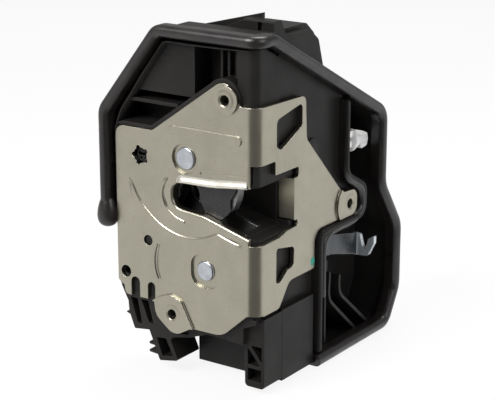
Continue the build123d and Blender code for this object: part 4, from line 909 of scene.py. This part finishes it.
# Studio: pale floor, soft lamps and the camera at the photograph's angle
studio = {
    "floorGap": 0.3,
    "floorReach": 6.0,
    "floorColour": (0.86, 0.86, 0.86),
    "floorRoughness": 0.6,
    "floorSeen": 0.88,
    "floorMirrored": 0.95,
    "lens": 119.3,
    "cameraPlace": (0.4204, -0.5931, 0.1710),
    "lookAlong": (-0.5425, 0.7893, -0.2874),
    "worldLight": 0.4,
    "darkSide": (0.682, -0.731, 0),
    "darkFrom": 0.35,
    "darkTo": 0.7,
    "darkLevel": 0.16,
    "lamps": (
        # name, place, size, watts
        ("keyLamp", (-0.25, -0.85, 0.75), 0.7, 15.0),
        ("sideLamp", (0.95, -0.1, 0.45), 0.6, 3.5),
        ("topLamp", (0.0, 0.35, 0.95), 0.6, 7.0),
    ),
}


def roomSide(tree, direction):
    # 1 round most of the room, and less on its unlit side, which gives the bent metal its dark line
    flat = tree.nodes.new("ShaderNodeVectorMath")
    flat.operation = "MULTIPLY"
    flat.inputs[1].default_value = (1, 1, 0)
    unit = tree.nodes.new("ShaderNodeVectorMath")
    unit.operation = "NORMALIZE"
    turn = tree.nodes.new("ShaderNodeVectorMath")
    turn.operation = "DOT_PRODUCT"
    turn.inputs[1].default_value = studio["darkSide"]
    fade = tree.nodes.new("ShaderNodeMapRange")
    fade.interpolation_type = "SMOOTHSTEP"
    fade.inputs["From Min"].default_value = studio["darkFrom"]
    fade.inputs["From Max"].default_value = studio["darkTo"]
    fade.inputs["To Min"].default_value = 1.0
    fade.inputs["To Max"].default_value = studio["darkLevel"]
    tree.links.new(direction, flat.inputs[0])
    tree.links.new(flat.outputs["Vector"], unit.inputs[0])
    tree.links.new(unit.outputs["Vector"], turn.inputs[0])
    tree.links.new(turn.outputs["Value"], fade.inputs["Value"])
    return fade.outputs["Result"]


def paleFloor():
    # white to the camera and to glossy rays, and still a floor that takes the shadow
    low = cadBox[0].z - studio["floorGap"] * mm
    reach = studio["floorReach"]
    mesh = bpy.data.meshes.new("floor")
    corners = [(-reach, -reach, low), (reach, -reach, low), (reach, reach, low), (-reach, reach, low)]
    mesh.from_pydata(corners, [], [(0, 1, 2, 3)])
    floor = bpy.data.objects.new("floor", mesh)
    bpy.context.scene.collection.objects.link(floor)
    mat, shader = startMaterial("paleFloor", studio["floorColour"], studio["floorRoughness"])
    tree = mat.node_tree
    path = tree.nodes.new("ShaderNodeLightPath")
    place = tree.nodes.new("ShaderNodeNewGeometry")
    white = tree.nodes.new("ShaderNodeEmission")
    white.inputs["Color"].default_value = (1, 1, 1, 1)
    level = mathOf(tree, "MAXIMUM", path.outputs["Is Camera Ray"], roomSide(tree, place.outputs["Position"]))
    tree.links.new(level, white.inputs["Strength"])
    seen = mathOf(tree, "MULTIPLY", path.outputs["Is Camera Ray"], studio["floorSeen"])
    mirrored = mathOf(tree, "MULTIPLY", path.outputs["Is Glossy Ray"], studio["floorMirrored"])
    blend = tree.nodes.new("ShaderNodeMixShader")
    tree.links.new(mathOf(tree, "MAXIMUM", seen, mirrored), blend.inputs["Fac"])
    tree.links.new(shader.outputs["BSDF"], blend.inputs[1])
    tree.links.new(white.outputs["Emission"], blend.inputs[2])
    tree.links.new(blend.outputs["Shader"], tree.nodes["Material Output"].inputs["Surface"])
    mesh.materials.append(mat)


def paleWorld():
    world = bpy.data.worlds.new("paleRoom")
    world.use_nodes = True
    bpy.context.scene.world = world
    tree = world.node_tree
    place = tree.nodes.new("ShaderNodeTexCoord")
    room = tree.nodes["Background"]
    room.inputs["Color"].default_value = (1, 1, 1, 1)
    level = mathOf(tree, "MULTIPLY", roomSide(tree, place.outputs["Generated"]), studio["worldLight"])
    tree.links.new(level, room.inputs["Strength"])
    white = tree.nodes.new("ShaderNodeBackground")
    white.inputs["Color"].default_value = (1, 1, 1, 1)
    white.inputs["Strength"].default_value = 1.0
    path = tree.nodes.new("ShaderNodeLightPath")
    blend = tree.nodes.new("ShaderNodeMixShader")
    tree.links.new(path.outputs["Is Camera Ray"], blend.inputs["Fac"])
    tree.links.new(room.outputs["Background"], blend.inputs[1])
    tree.links.new(white.outputs["Background"], blend.inputs[2])
    tree.links.new(blend.outputs["Shader"], tree.nodes["World Output"].inputs["Surface"])


def softLamps():
    target = (cadBox[0] + cadBox[1]) / 2
    for name, place, size, watts in studio["lamps"]:
        lamp = bpy.data.lights.new(name, "AREA")
        lamp.shape = "DISK"
        lamp.size = size
        lamp.energy = watts
        holder = bpy.data.objects.new(name, lamp)
        bpy.context.scene.collection.objects.link(holder)
        holder.location = place
        holder.rotation_mode = "QUATERNION"
        holder.rotation_quaternion = (target - Vector(place)).to_track_quat("-Z", "Y")


def photoCamera():
    view = bpy.data.cameras.new("photoCamera")
    view.lens = studio["lens"]
    view.sensor_width = 36
    view.clip_start = 0.01
    view.clip_end = 50
    camera = bpy.data.objects.new("photoCamera", view)
    bpy.context.scene.collection.objects.link(camera)
    camera.location = studio["cameraPlace"]
    camera.rotation_mode = "QUATERNION"
    camera.rotation_quaternion = Vector(studio["lookAlong"]).to_track_quat("-Z", "Y")
    bpy.context.scene.camera = camera


paleFloor()
paleWorld()
softLamps()
photoCamera()
bpy.context.scene.view_settings.view_transform = "Standard"
print("studio set")
